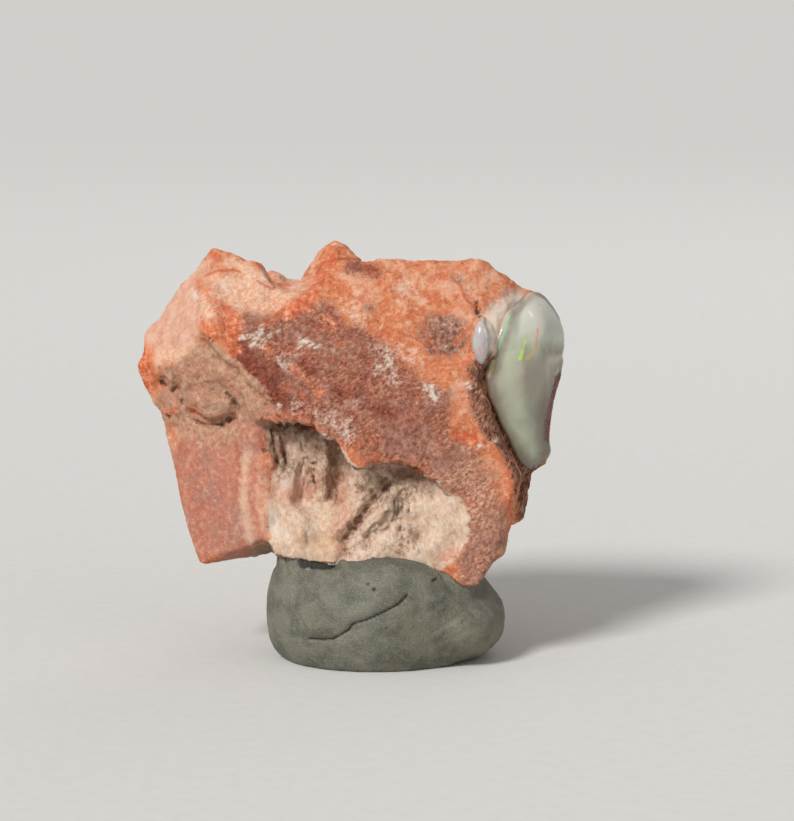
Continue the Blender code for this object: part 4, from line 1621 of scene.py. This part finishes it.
    melt_zone: Stroke = Stroke(((8.5, 25.9), (8.2, 24.2), (7.95, 22.6)), 0.85)
    melt_rounds: int = 60
    chink_top: float = 7.8
    # Height above which no painted shade is laid in the chink.
    chink_shade_limit: float = 7.95
    drawn_inside: float = 0.2
    drawn_most: float = 1.3
    drawn_low: float = 15.6
    drawn_high: float = 23.5
    lane_start: float = -16.2
    lane_end: float = -7.9
    lane_bend: float = 0.035
    lane_middle: float = 12.5

    def build(self, nodes: dict[str, bpy.types.Object], finish: StoneFinish) -> bpy.types.Object:
        """Builds and dresses the stone.

        Args:
            nodes: The frame's objects by name.
            finish: The stone's finish.

        Returns:
            The dressed piece.
        """
        rock = solid_form(nodes[Solid.ROCK.value])
        seam = solid_form(nodes[Solid.SEAM.value], self.opal_spread, self.opal_sink)
        bead = solid_form(nodes[Solid.BEAD.value], self.bead_spread, self.bead_sink)
        skin = Skin("rough_ironstone", join_forms([rock, seam, bead]), self.voxel)
        skin.smooth(self.even_rounds)
        self.melt(skin)
        self.carve(skin)
        draw_in(skin, self.sheet, self.drawn_inside, self.drawn_most, self.drawn_low, self.drawn_high)
        self.mark(skin)
        skin.thin(1.0 - self.front(skin), self.kept_share)
        return skin.dress(Solid.ROCK, finish.material())

    def melt(self, skin: Skin) -> None:
        """Evens the stone out between the bead and the patch of opal.

        Args:
            skin: The stone's skin.
        """
        share = ease(self.melt_zone.depth(self.sheet.lay(skin.points)), -0.2, 0.3) * self.front(skin)
        even = skin.blurred(skin.points, self.melt_rounds)
        skin.points += (even - skin.points) * share[:, None]

    def carve(self, skin: Skin) -> None:
        """Works the hollow's ribs, the ragged lip, the cracks and the grain into the skin.

        Args:
            skin: The stone's skin.
        """
        normals = skin.normals()
        places = self.sheet.lay(skin.points)
        front = self.front(skin)
        hollow = ease(self.hollow_depth(skin, places), -0.1, 0.5)
        torn = hollow * (0.25 + 0.75 * ease(deepest(self.rough, places), -1.2, 0.6))
        torn *= 1.0 - ease(places[:, 0], 3.0, 4.4)
        bands = ease(self.bands.depth(places), -0.2, 0.6) * front
        beige = ease(self.beige.depth(places), -0.2, 0.6) * front

        ribs = self.ribs(skin.points, places)
        rough = grain(skin.points, 0.75, 5, 3.7)
        nap = grain(skin.points, 2.6, 4, 11.3)
        lift = lifted(self.forms, places) * front
        lift += (lifted(self.cracks, places) + lifted(self.soot_dots, places)) * front
        lift += torn * ribs
        lift += rough * (0.11 - 0.07 * bands + 0.05 * beige - 0.05 * (hollow - torn))
        lift += nap * (0.04 + 0.06 * torn + 0.03 * beige - 0.02 * bands)
        lift += np.clip(-skin.hollowness(20), 0.0, 0.35) * self.corner_gain
        skin.points += normals * lift[:, None]

        near = np.exp(-((away_from(places, self.lip) / self.lip_width) ** 2)) * front
        ragged = grain(skin.points, 1.5, 5, 5.1)
        skin.points[:, 2] += near * ragged * self.lip_rise
        skin.points[:, 0] += near * grain(skin.points, 1.7, 4, 8.4) * self.lip_sway
        skin.points += (skin.points - skin.blurred(skin.points, 2)) * self.sharpness
        raised = np.maximum(self.chink_top - skin.points[:, 2], 0.0) * in_chink(skin, self.sheet)
        skin.points[:, 2] += skin.blurred(raised, 1)

    def ribs(self, points: np.ndarray, places: np.ndarray) -> np.ndarray:
        """Height of the torn ribs: upright at the left, leaning to the lower left further right.

        Args:
            points: Points of the skin.
            places: Their places on the sheet.

        Returns:
            The ribs' height at each point.
        """
        lean = np.radians(8.0 + 34.0 * ease(places[:, 0], -5.0, -1.5) - 30.0 * ease(places[:, 0], 0.4, 2.4))
        across = places[:, 0] * np.cos(lean) - places[:, 1] * np.sin(lean)
        along = places[:, 0] * np.sin(lean) + places[:, 1] * np.cos(lean)
        spread = np.stack((across * 1.5, along * 0.5, points[:, 1] * 0.5), axis=1)
        ridged = 0.7 - 2.2 * np.abs(grain(spread, 1.0, 5, 1.9))
        slots = grain(spread * 2.3, 1.0, 3, 6.6)
        return ridged * 0.16 + np.minimum(slots, 0.0) * 0.14

    def front(self, skin: Skin) -> np.ndarray:
        """How far each point faces the marking sheet, from 0 to 1."""
        facing = -skin.blurred(skin.normals(), 6)[:, 1]
        return ease(facing, -0.12, 0.2)

    def hollow_depth(self, skin: Skin, places: np.ndarray) -> np.ndarray:
        """Depth of each point in the hollow, its ceiling and walls with it.

        Args:
            skin: The stone's skin.
            places: Its points on the sheet.

        Returns:
            The depth.
        """
        normals = skin.blurred(skin.normals(), 4)
        ceiling = ease(-normals[:, 2], 0.3, 0.7) * ease(normals[:, 1], -0.45, -0.1)
        return self.cream.depth(places) + ceiling * 1.4

    def mark(self, skin: Skin) -> None:
        """Keeps the zones of colour on the skin, drawn in front and scattered by noise behind.

        Args:
            skin: The stone's skin, carved.
        """
        points = skin.points
        places = self.sheet.lay(points)
        front = self.front(skin)
        hollow = self.hollow_depth(skin, places)
        wide = grain(points, 0.13, 3, 21.0)
        patch = grain(points, 0.2, 4, 33.0)
        low = ease(points[:, 2], 15.0, 9.0)
        left = ease(points[:, 0], -8.0, -12.0)
        nowhere = np.full(len(points), NOWHERE)
        salmon = np.maximum(self.salmon.depth(places), self.cheek.depth(places))
        # Painted shade in the chink between stone and putty, kept with the dark cracks and dots.
        chink = in_chink(skin, self.sheet) * ease(points[:, 2], self.chink_shade_limit, self.chink_top)
        soot = np.maximum(deepest(self.cracks + self.soot_dots, places), chink - 0.5)
        # Painted shade on surfaces that face down, kept with the grime.
        under = ease(-skin.blurred(skin.normals(), 4)[:, 2], 0.35, 0.75) * 1.6 - 0.9
        for field, depth, behind in (
            (Field.CREAM, hollow, patch * 3.0 - 2.2 + low * 1.2 - left),
            (Field.DUSK, self.dusk.depth(places), wide * 2.4 - 0.3),
            (Field.EMBER, deepest(self.ember, places), patch * 2.0 - 1.4),
            (Field.SALMON, salmon, patch * 2.0 - 1.0 + left),
            (Field.PALE, self.pale.depth(places), left * 1.6 - 1.5 - wide * 2.0),
            (Field.BEIGE, self.beige.depth(places), -wide * 3.0 - 2.1 + low),
            (Field.BANDS, self.bands.depth(places), left * 2.0 + low * 1.6 - 2.6),
            (Field.STAIN, deepest(self.stain, places), patch * 2.0 - 1.6),
            (Field.BRICK, deepest(self.brick, places), patch * 2.0 - 1.3),
            (Field.HAZE, deepest(self.haze, places), patch * 2.0 - 1.5),
            (Field.BLUSH, deepest(self.blush, places), patch),
            (Field.OCHRE, deepest(self.ochre, places), patch - 0.5),
            (Field.GRIME, np.maximum(deepest(self.grime, places), under), patch - 0.8),
            (Field.VEIL, self.veil.depth(places), nowhere),
            (Field.BARK, self.bark.depth(places), nowhere),
            (Field.FLECK, deepest(self.fleck, places), nowhere),
            (Field.SOOT, soot, nowhere),
            (Field.RIM, np.where(hollow > 0.1, NOWHERE, deepest(self.rim, places)), nowhere),
            (Field.STRIPE, deepest(self.stripe, places), nowhere),
            (Field.VEIN, deepest(self.veins, places), nowhere),
        ):
            seen = np.clip(depth, -DEEP, DEEP) * front
            skin.keep(field, seen + np.clip(behind, -DEEP, DEEP) * (1.0 - front))
        bend = self.lane_bend * (places[:, 1] - self.lane_middle) ** 2
        lane = (places[:, 0] - bend - self.lane_start) / (self.lane_end - self.lane_start)
        skin.keep(Field.LANE, np.clip(lane, 0.0, 1.0))
        skin.keep(Field.PALER, ease(places[:, 0], 1.0, 5.0) * ease(places[:, 1], 18.0, 14.5))
        # Painted shade in hollows: how far each point lies below its surroundings.
        skin.keep(Field.WEAR, skin.hollowness(14))
        skin.keep(Field.DRAWN, side_of(places, tuple(vein.route for vein in self.veins)))


@dataclass
class OpalSeam:
    """The patch of opal on the stone's end."""

    sheet: Sheet
    voxel: float = 0.11
    even_rounds: int = 56
    spread: float = 0.3
    outward: Triple = (0.72, -0.68, 0.05)
    drawn_most: float = 1.0
    drawn_low: float = 0.0
    drawn_high: float = 40.0
    outline: Outline = Outline(
        (
            (9.6, 26.4), (9.2, 25.2), (8.8, 23.6), (8.3, 22.4), (7.9, 21.2), (7.8, 20.0), (8.2, 18.8),
            (8.9, 17.2), (9.8, 15.8), (10.7, 14.6), (11.1, 14.2), (11.8, 14.6), (12.1, 15.4), (12.0, 16.4),
            (11.9, 17.6), (12.2, 18.9), (12.7, 20.2), (13.2, 21.4), (14.4, 22.2), (14.6, 24.0), (14.0, 26.0),
            (12.6, 28.0), (11.4, 27.8), (10.4, 26.8),
        )
    )
    rind: Outline = Outline(
        (
            (13.5, 21.4), (12.98, 20.9), (12.7, 20.0), (12.48, 19.1), (12.3, 18.1), (12.18, 17.1),
            (12.15, 16.3), (12.4, 16.1), (13.2, 16.2), (14.6, 17.0), (14.6, 21.6),
        )
    )
    veil: Strokes = (
        Stroke(((9.2, 26.2), (8.9, 25.0), (8.3, 23.4)), 0.5),
        Stroke(((10.4, 27.4), (11.6, 27.6)), 0.5),
        Stroke(((12.6, 22.3), (13.2, 22.5), (13.6, 22.7)), 0.16),
    )
    haze: Strokes = (
        Stroke(((9.4, 24.6), (9.0, 23.2), (9.3, 21.6), (9.6, 20.0), (10.2, 18.2)), 0.75),
        Stroke(((12.9, 24.6), (13.4, 23.8)), 0.5),
        Stroke(((11.2, 15.0), (11.0, 16.4)), 0.6),
    )
    dent: Strokes = (Stroke(((12.4, 23.1), (12.9, 22.95), (13.4, 23.05)), 0.42),)
    # Painted highlights near the opal's top.
    painted_highlight: Strokes = (Stroke(((11.0, 25.9), (11.15, 25.6)), 0.07), Stroke(((11.8, 26.1),), 0.04))
    forms: Strokes = (
        Stroke(((10.5, 26.4), (10.3, 25.2), (10.0, 23.4)), 0.35, -0.14),
        Stroke(((9.7, 26.0), (9.3, 24.6), (8.8, 23.0), (8.4, 21.6)), 0.3, 0.14),
        Stroke(((12.6, 23.2), (13.3, 23.1)), 0.5, -0.08),
        Stroke(((12.7, 22.5), (13.5, 22.7)), 0.3, 0.04),
        Stroke(((13.3, 21.4), (12.7, 19.4), (12.4, 17.4), (12.4, 16.2)), 0.16, -0.1),
        Stroke(((12.4, 15.2), (12.6, 16.2)), 0.3, 0.15),
    )
    ridge: Strokes = (
        Stroke(((9.45, 25.6), (9.1, 24.4), (8.6, 23.2)), 0.09),
        Stroke(((8.6, 23.2), (8.2, 22.3), (7.95, 21.5)), 0.05),
    )
    lime: Strokes = (
        Stroke(((10.65, 23.8), (10.5, 23.0)), 0.05),
        Stroke(((10.45, 22.9), (10.3, 22.4)), 0.14),
    )
    flame: Strokes = (Stroke(((11.6, 24.6), (11.55, 24.0), (11.45, 23.1)), 0.06),)
    # Gold flashes of colour; the dot at (9.35, 22.5) is a painted highlight.
    gold_flashes_and_highlight: Strokes = (
        Stroke(((11.4, 23.1), (11.15, 22.7), (10.8, 22.4)), 0.12),
        Stroke(((9.35, 22.5),), 0.06),
        Stroke(((8.3, 22.2), (7.95, 21.0)), 0.08),
    )

    def build(self, nodes: dict[str, bpy.types.Object], finish: OpalFinish) -> bpy.types.Object:
        """Builds and dresses the patch of opal.

        Args:
            nodes: The frame's objects by name.
            finish: The opal's finish.

        Returns:
            The dressed piece.
        """
        skin = Skin("opal_patch", solid_form(nodes[Solid.SEAM.value]), self.voxel)
        skin.smooth(self.even_rounds)
        normals = skin.normals()
        facing = ease(-normals[:, 1], 0.0, 0.3)
        self.swell(skin, normals, facing)
        draw_in(skin, self.sheet, 0.0, self.drawn_most, self.drawn_low, self.drawn_high)
        height = (skin.points[:, 2] - finish.lowest) / (finish.highest - finish.lowest)
        skin.keep(Field.HEIGHT, np.clip(height, 0.0, 1.0))
        self.mark(skin, normals, facing)
        return skin.dress(Solid.SEAM, finish.material())

    def swell(self, skin: Skin, normals: np.ndarray, facing: np.ndarray) -> None:
        """Spreads the patch over its edges and works its low forms into the skin.

        Args:
            skin: The opal's skin.
            normals: Outward direction at each point.
            facing: How far each point faces the marking sheet.
        """
        outward = np.array(self.outward)
        side = 1.0 - ease(normals @ (outward / np.linalg.norm(outward)), 0.1, 0.75)
        places = self.sheet.lay(skin.points)
        lift = lifted(self.forms, places) * facing
        lift += side * self.spread + grain(skin.points, 0.3, 3, 2.2) * 0.06
        lift += ease(self.rind.depth(places), -0.1, 0.2) * grain(skin.points, 2.2, 4, 6.2) * 0.12
        skin.points += normals * lift[:, None]

    def mark(self, skin: Skin, normals: np.ndarray, facing: np.ndarray) -> None:
        """Keeps the opal's zones, flashes and painted highlights on the skin.

        Args:
            skin: The opal's skin, formed.
            normals: Outward direction at each point before it was formed.
            facing: How far each point faces the marking sheet.
        """
        places = self.sheet.lay(skin.points)
        skin.keep(Field.SHOWN, self.outline.depth(places) * facing)
        behind = ease(normals[:, 1], 0.2, 0.6) * 3.0 - 1.5
        skin.keep(Field.RIND, np.maximum(self.rind.depth(places), behind))
        for field, strokes in (
            (Field.VEIL, self.veil),
            (Field.HAZE, self.haze),
            (Field.DENT, self.dent),
            (Field.RIDGE, self.ridge),
            (Field.LIME, self.lime),
            (Field.FLAME, self.flame),
            (Field.GLINT, self.gold_flashes_and_highlight),
            # Painted highlights.
            (Field.FLECK, self.painted_highlight),
        ):
            skin.keep(field, deepest(strokes, places) * facing + NOWHERE * (1.0 - facing))


@dataclass
class OpalBead:
    """The small bead of opal beside the patch."""

    sheet: Sheet
    voxel: float = 0.05
    even_rounds: int = 16
    pinch: float = 0.3
    half_height: float = 1.7
    ridge: Strokes = (Stroke(((6.75, 23.7), (6.8, 23.3)), 0.08),)
    flame: Strokes = (Stroke(((7.2, 23.2), (7.3, 22.8)), 0.03),)
    # Painted highlights on the bead.
    painted_highlight: Strokes = (
        Stroke(((7.6, 24.6), (7.7, 24.0)), 0.05),
        Stroke(((7.75, 23.7), (7.7, 23.3)), 0.03),
    )

    def build(self, nodes: dict[str, bpy.types.Object], finish: OpalFinish) -> bpy.types.Object:
        """Builds and dresses the bead.

        Args:
            nodes: The frame's objects by name.
            finish: The opal's finish.

        Returns:
            The dressed piece.
        """
        skin = Skin("opal_drop", solid_form(nodes[Solid.BEAD.value]), self.voxel)
        skin.smooth(self.even_rounds)
        middle = skin.points.mean(axis=0)
        along = np.clip((skin.points[:, 2] - middle[2]) / self.half_height, -1.0, 1.0)
        waist_tone_and_shade = 1.0 - self.pinch * along**2
        skin.points[:, 0] = middle[0] + (skin.points[:, 0] - middle[0]) * waist_tone_and_shade * 1.05
        skin.points += skin.normals() * grain(skin.points, 0.9, 3, 7.0)[:, None] * 0.08
        places = self.sheet.lay(skin.points)
        skin.keep(Field.HEIGHT, np.full(len(places), 0.8))
        skin.keep(Field.SHOWN, np.full(len(places), 2.0))
        skin.keep(Field.RIDGE, deepest(self.ridge, places))
        skin.keep(Field.FLAME, deepest(self.flame, places))
        # Painted highlights on the bead.
        skin.keep(Field.FLECK, deepest(self.painted_highlight, places))
        for field in (Field.LIME, Field.GLINT, Field.VEIL, Field.HAZE, Field.DENT, Field.RIND):
            skin.keep(field, np.full(len(places), -3.0))
        return skin.dress(Solid.BEAD, finish.material())


@dataclass
class PuttyMount:
    """The pinch of putty under the stone."""

    sheet: Sheet
    voxel: float = 0.14
    even_rounds: int = 12
    touch: float = 0.95
    chink_drop: float = 0.8
    floor_zone: float = 0.25
    crease: Stroke = Stroke(
        (
            (-5.6, 1.25), (-4.7, 1.15), (-3.9, 1.2), (-3.3, 1.5), (-2.7, 1.85), (-2.35, 2.35), (-1.4, 2.6),
            (-0.1, 3.2), (1.1, 3.85), (1.75, 4.5),
        ),
        0.09,
        -0.26,
    )
    shelf: Stroke = Stroke(((-5.4, 1.9), (-3.6, 2.1), (-2.2, 2.9), (-0.6, 3.6), (0.9, 4.4)), 0.6, 0.16)
    lobe: Stroke = Stroke(((-3.4, 0.7), (-1.4, 1.6), (0.4, 2.4), (1.9, 3.5)), 0.7, 0.14)
    pits: Strokes = (
        Stroke(((-1.2, 5.35),), 0.11, -0.16),
        Stroke(((-0.75, 4.95),), 0.15, -0.22),
        Stroke(((3.7, 5.6), (3.95, 5.8)), 0.1, -0.12),
        Stroke(((0.2, 2.0),), 0.1, -0.1),
    )
    tears: Strokes = (
        Stroke(((-7.6, 6.9), (-7.3, 7.1)), 0.22, 0.25),
        Stroke(((-6.3, 6.7),), 0.16, 0.25),
        Stroke(((-5.7, 6.7),), 0.14, 0.3),
        Stroke(((5.6, 5.2), (6.4, 4.9)), 0.16, 0.15),
    )
    gap: Stroke = Stroke(((-6.1, 7.0), (-5.3, 6.85), (-4.5, 6.75), (-3.7, 6.8)), 0.26, -0.45)
    gap_from: float = 2.0
    gap_soft: float = 0.8
    gap_deep: float = 0.2
    gap_wall: Pair = (-4.15, -3.85)
    # Half width of the painted shade along the crease.
    crease_shade: float = 0.07
    flecks: Strokes = (
        Stroke(((-7.6, 7.0), (-7.2, 7.1)), 0.14),
        Stroke(((-5.75, 6.5), (-5.6, 6.7)), 0.12),
        Stroke(((4.9, 5.7), (5.6, 5.2), (6.3, 4.95)), 0.12),
    )
    drags: Strokes = (
        Stroke(((3.6, 1.6), (5.4, 2.8), (6.6, 3.9)), 0.12, -0.07),
        Stroke(((4.4, 1.4), (6.2, 2.5)), 0.12, -0.06),
        Stroke(((2.9, 2.9), (4.6, 4.1)), 0.14, -0.06),
        Stroke(((-6.9, 3.4), (-5.0, 4.2)), 0.2, -0.05),
    )

    def build(
        self, nodes: dict[str, bpy.types.Object], stone: bpy.types.Object, finish: PuttyFinish
    ) -> bpy.types.Object:
        """Builds and dresses the putty, pressed up against the stone.

        Args:
            nodes: The frame's objects by name.
            stone: The dressed stone.
            finish: The putty's finish.

        Returns:
            The dressed piece.
        """
        skin = Skin("putty_pinch", solid_form(nodes[Solid.PUTTY.value]), self.voxel)
        front, ahead = self.knead(skin)
        self.press_up(skin, stone)
        self.mark(skin, front, ahead)
        return skin.dress(Solid.PUTTY, finish.material())

    def knead(self, skin: Skin) -> tuple[np.ndarray, np.ndarray]:
        """Works the crease, the lobes, the pits and the drag marks into the skin, over a flat foot.

        Args:
            skin: The putty's skin.

        Returns:
            How far each point faces forward, and how far it lies in the front of the lump.
        """
        still = ease(skin.points[:, 2], 0.0, self.floor_zone)[:, None]
        bottom = skin.points.copy()
        skin.smooth(self.even_rounds)
        normals = skin.normals()
        places = self.sheet.lay(skin.points)
        front = ease(-normals[:, 1], 0.0, 0.3)
        ahead = ease(-skin.points[:, 1], self.gap_from, self.gap_from + self.gap_soft)
        lift = lifted((self.crease, self.shelf, self.lobe), places) * front
        lift += lifted((self.gap,), places) * ahead
        lift += lifted(self.pits + self.tears + self.drags, places) * front
        lift += grain(skin.points, 0.28, 3, 4.0) * 0.16 + grain(skin.points, 1.4, 4, 9.0) * 0.035
        skin.points += normals * lift[:, None]
        skin.points = bottom * (1.0 - still) + skin.points * still
        return front, ahead

    def mark(self, skin: Skin, front: np.ndarray, ahead: np.ndarray) -> None:
        """Keeps the painted shade in the pits, crease and chink, and the pale flecks, on the skin.

        Args:
            skin: The putty's skin, pressed up to the stone.
            front: How far each point faces forward.
            ahead: How far each point lies in the front of the lump.
        """
        places = self.sheet.lay(skin.points)
        hidden = -NOWHERE * (1.0 - front)
        # Painted shade in the pits, the crease and the chink.
        soot = deepest(self.pits + (Stroke(self.crease.route, self.crease_shade),), places) - hidden
        inner = ease(skin.points[:, 1], *self.gap_wall) * ahead
        chink = self.gap.depth(places) + self.gap_deep + NOWHERE * (1.0 - inner)
        skin.keep(Field.SOOT, np.maximum(soot, chink))
        skin.keep(Field.FLECK, deepest(self.flecks, places) - hidden)

    def press_up(self, skin: Skin, stone: bpy.types.Object) -> None:
        """Lifts the putty's top to the stone where the two are close.

        Args:
            skin: The putty's skin.
            stone: The dressed stone.
        """
        faces = [tuple(face.vertices) for face in stone.data.polygons]
        tree = BVHTree.FromPolygons([vert.co / MM for vert in stone.data.vertices], faces)
        upward = skin.normals()[:, 2]
        chink = in_chink(skin, self.sheet)
        gap = np.zeros(len(skin.points))
        for index in np.nonzero(upward > 0.1)[0]:
            hit = tree.ray_cast(Vector(skin.points[index]), Vector((0.0, 0.0, 1.0)), self.touch)
            if hit[0] is not None:
                gap[index] = hit[3] + 0.04
        skin.points[:, 2] += skin.blurred(gap * (1.0 - chink) - self.chink_drop * chink, 2)


@dataclass
class Studio:
    """Pale floor, soft lights and the camera."""

    frame_wide: int = 794
    frame_high: int = 821
    pixels_per_mm: float = 13.25
    sensor: float = 36.0
    nearest: float = 0.01
    furthest: float = 20.0
    aim: Triple = (0.0, 0.0, 0.015)
    floor_radius: float = 5.0
    floor_sides: int = 96
    sky: Paint = (236, 236, 236)
    sky_strength: float = 0.5
    sun_way: Triple = (0.46, 0.62, -0.64)
    sun_strength: float = 2.65
    sun_angle: float = 16.0
    fill_place: Triple = (0.3, -0.28, 0.12)
    fill_power: float = 0.12
    fill_side: float = 0.3
    back_place: Triple = (0.1, 0.3, 0.3)
    back_power: float = 0.12
    back_side: float = 0.2

    def lay_floor(self, finish: FloorFinish) -> bpy.types.Object:
        """Lays the floor and marks it as stage.

        Args:
            finish: The floor's finish.

        Returns:
            The floor.
        """
        form = bmesh.new()
        bmesh.ops.create_circle(form, cap_ends=True, segments=self.floor_sides, radius=self.floor_radius)
        mesh = bpy.data.meshes.new("pale_floor")
        form.to_mesh(mesh)
        form.free()
        floor = placed("pale_floor", mesh)
        mesh.materials.append(finish.material())
        floor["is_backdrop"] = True
        return floor

    def hang_light(self, name: str, place: Triple, power: float, side: float) -> None:
        """Hangs one soft light that looks at the object.

        Args:
            name: Name of the light.
            place: Where it hangs, in metres.
            power: Its power in watts.
            side: Its side in metres.
        """
        light = bpy.data.lights.new(name, "AREA")
        light.shape = "SQUARE"
        light.size = side
        light.energy = power
        lamp = placed(name, light)
        lamp.location = place
        lamp.rotation_euler = (Vector(self.aim) - Vector(place)).to_track_quat("-Z", "Y").to_euler()

    def light(self) -> None:
        """Sets the even sky, a broad soft sun from the upper left, and two weak lights."""
        world = bpy.data.worlds.new("soft_room")
        world.use_nodes = True
        backing = world.node_tree.nodes["Background"]
        backing.inputs["Color"].default_value = paint(self.sky)
        backing.inputs["Strength"].default_value = self.sky_strength
        bpy.context.scene.world = world
        bpy.context.scene.view_settings.view_transform = "Standard"
        sun = bpy.data.lights.new("key_light", "SUN")
        sun.energy = self.sun_strength
        sun.angle = math.radians(self.sun_angle)
        lamp = placed("key_light", sun)
        lamp.rotation_euler = Vector(self.sun_way).to_track_quat("-Z", "Y").to_euler()
        self.hang_light("fill_light", self.fill_place, self.fill_power, self.fill_side)
        self.hang_light("back_light", self.back_place, self.back_power, self.back_side)

    def set_camera(self, sheet: Sheet) -> None:
        """Sets the camera square to the marking sheet, at its reading distance.

        Args:
            sheet: The marking sheet.
        """
        lens = bpy.data.cameras.new("camera")
        lens.sensor_width = self.sensor
        span = max(self.frame_wide, self.frame_high) / self.pixels_per_mm
        lens.lens = self.sensor * sheet.reach / span
        lens.clip_start = self.nearest
        lens.clip_end = self.furthest
        lean = math.radians(sheet.lean)
        ahead = Vector((0.0, math.cos(lean), -math.sin(lean)))
        upward = Vector((0.0, math.sin(lean), math.cos(lean)))
        camera = placed("camera", lens)
        place = upward * sheet.middle[1] - ahead * sheet.reach + Vector((sheet.middle[0], 0.0, 0.0))
        camera.location = place * MM
        camera.rotation_euler = (math.radians(90.0 - sheet.lean), 0.0, 0.0)
        bpy.context.scene.camera = camera


def report(piece: bpy.types.Object) -> None:
    """Logs a piece with its number of triangles."""
    triangles = sum(len(face.vertices) - 2 for face in piece.data.polygons)
    LOG.info("%s: %d triangles", piece.name, triangles)


def main() -> None:
    """Builds the stone, the opal, the bead, the putty and the studio in order."""
    logging.basicConfig(level=logging.INFO, format="%(name)s: %(message)s")
    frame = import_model()
    nodes = frame["nodes"]
    sheet = Sheet()
    stone = HostRock(sheet).build(nodes, StoneFinish())
    report(stone)
    report(OpalSeam(sheet).build(nodes, OpalFinish()))
    report(OpalBead(sheet).build(nodes, OpalFinish("lilac_opal", LILAC_MILK, LILAC_TOP)))
    report(PuttyMount(sheet).build(nodes, stone, PuttyFinish()))
    studio = Studio()
    report(studio.lay_floor(FloorFinish()))
    studio.light()
    studio.set_camera(sheet)


if __name__ == "__main__":
    main()
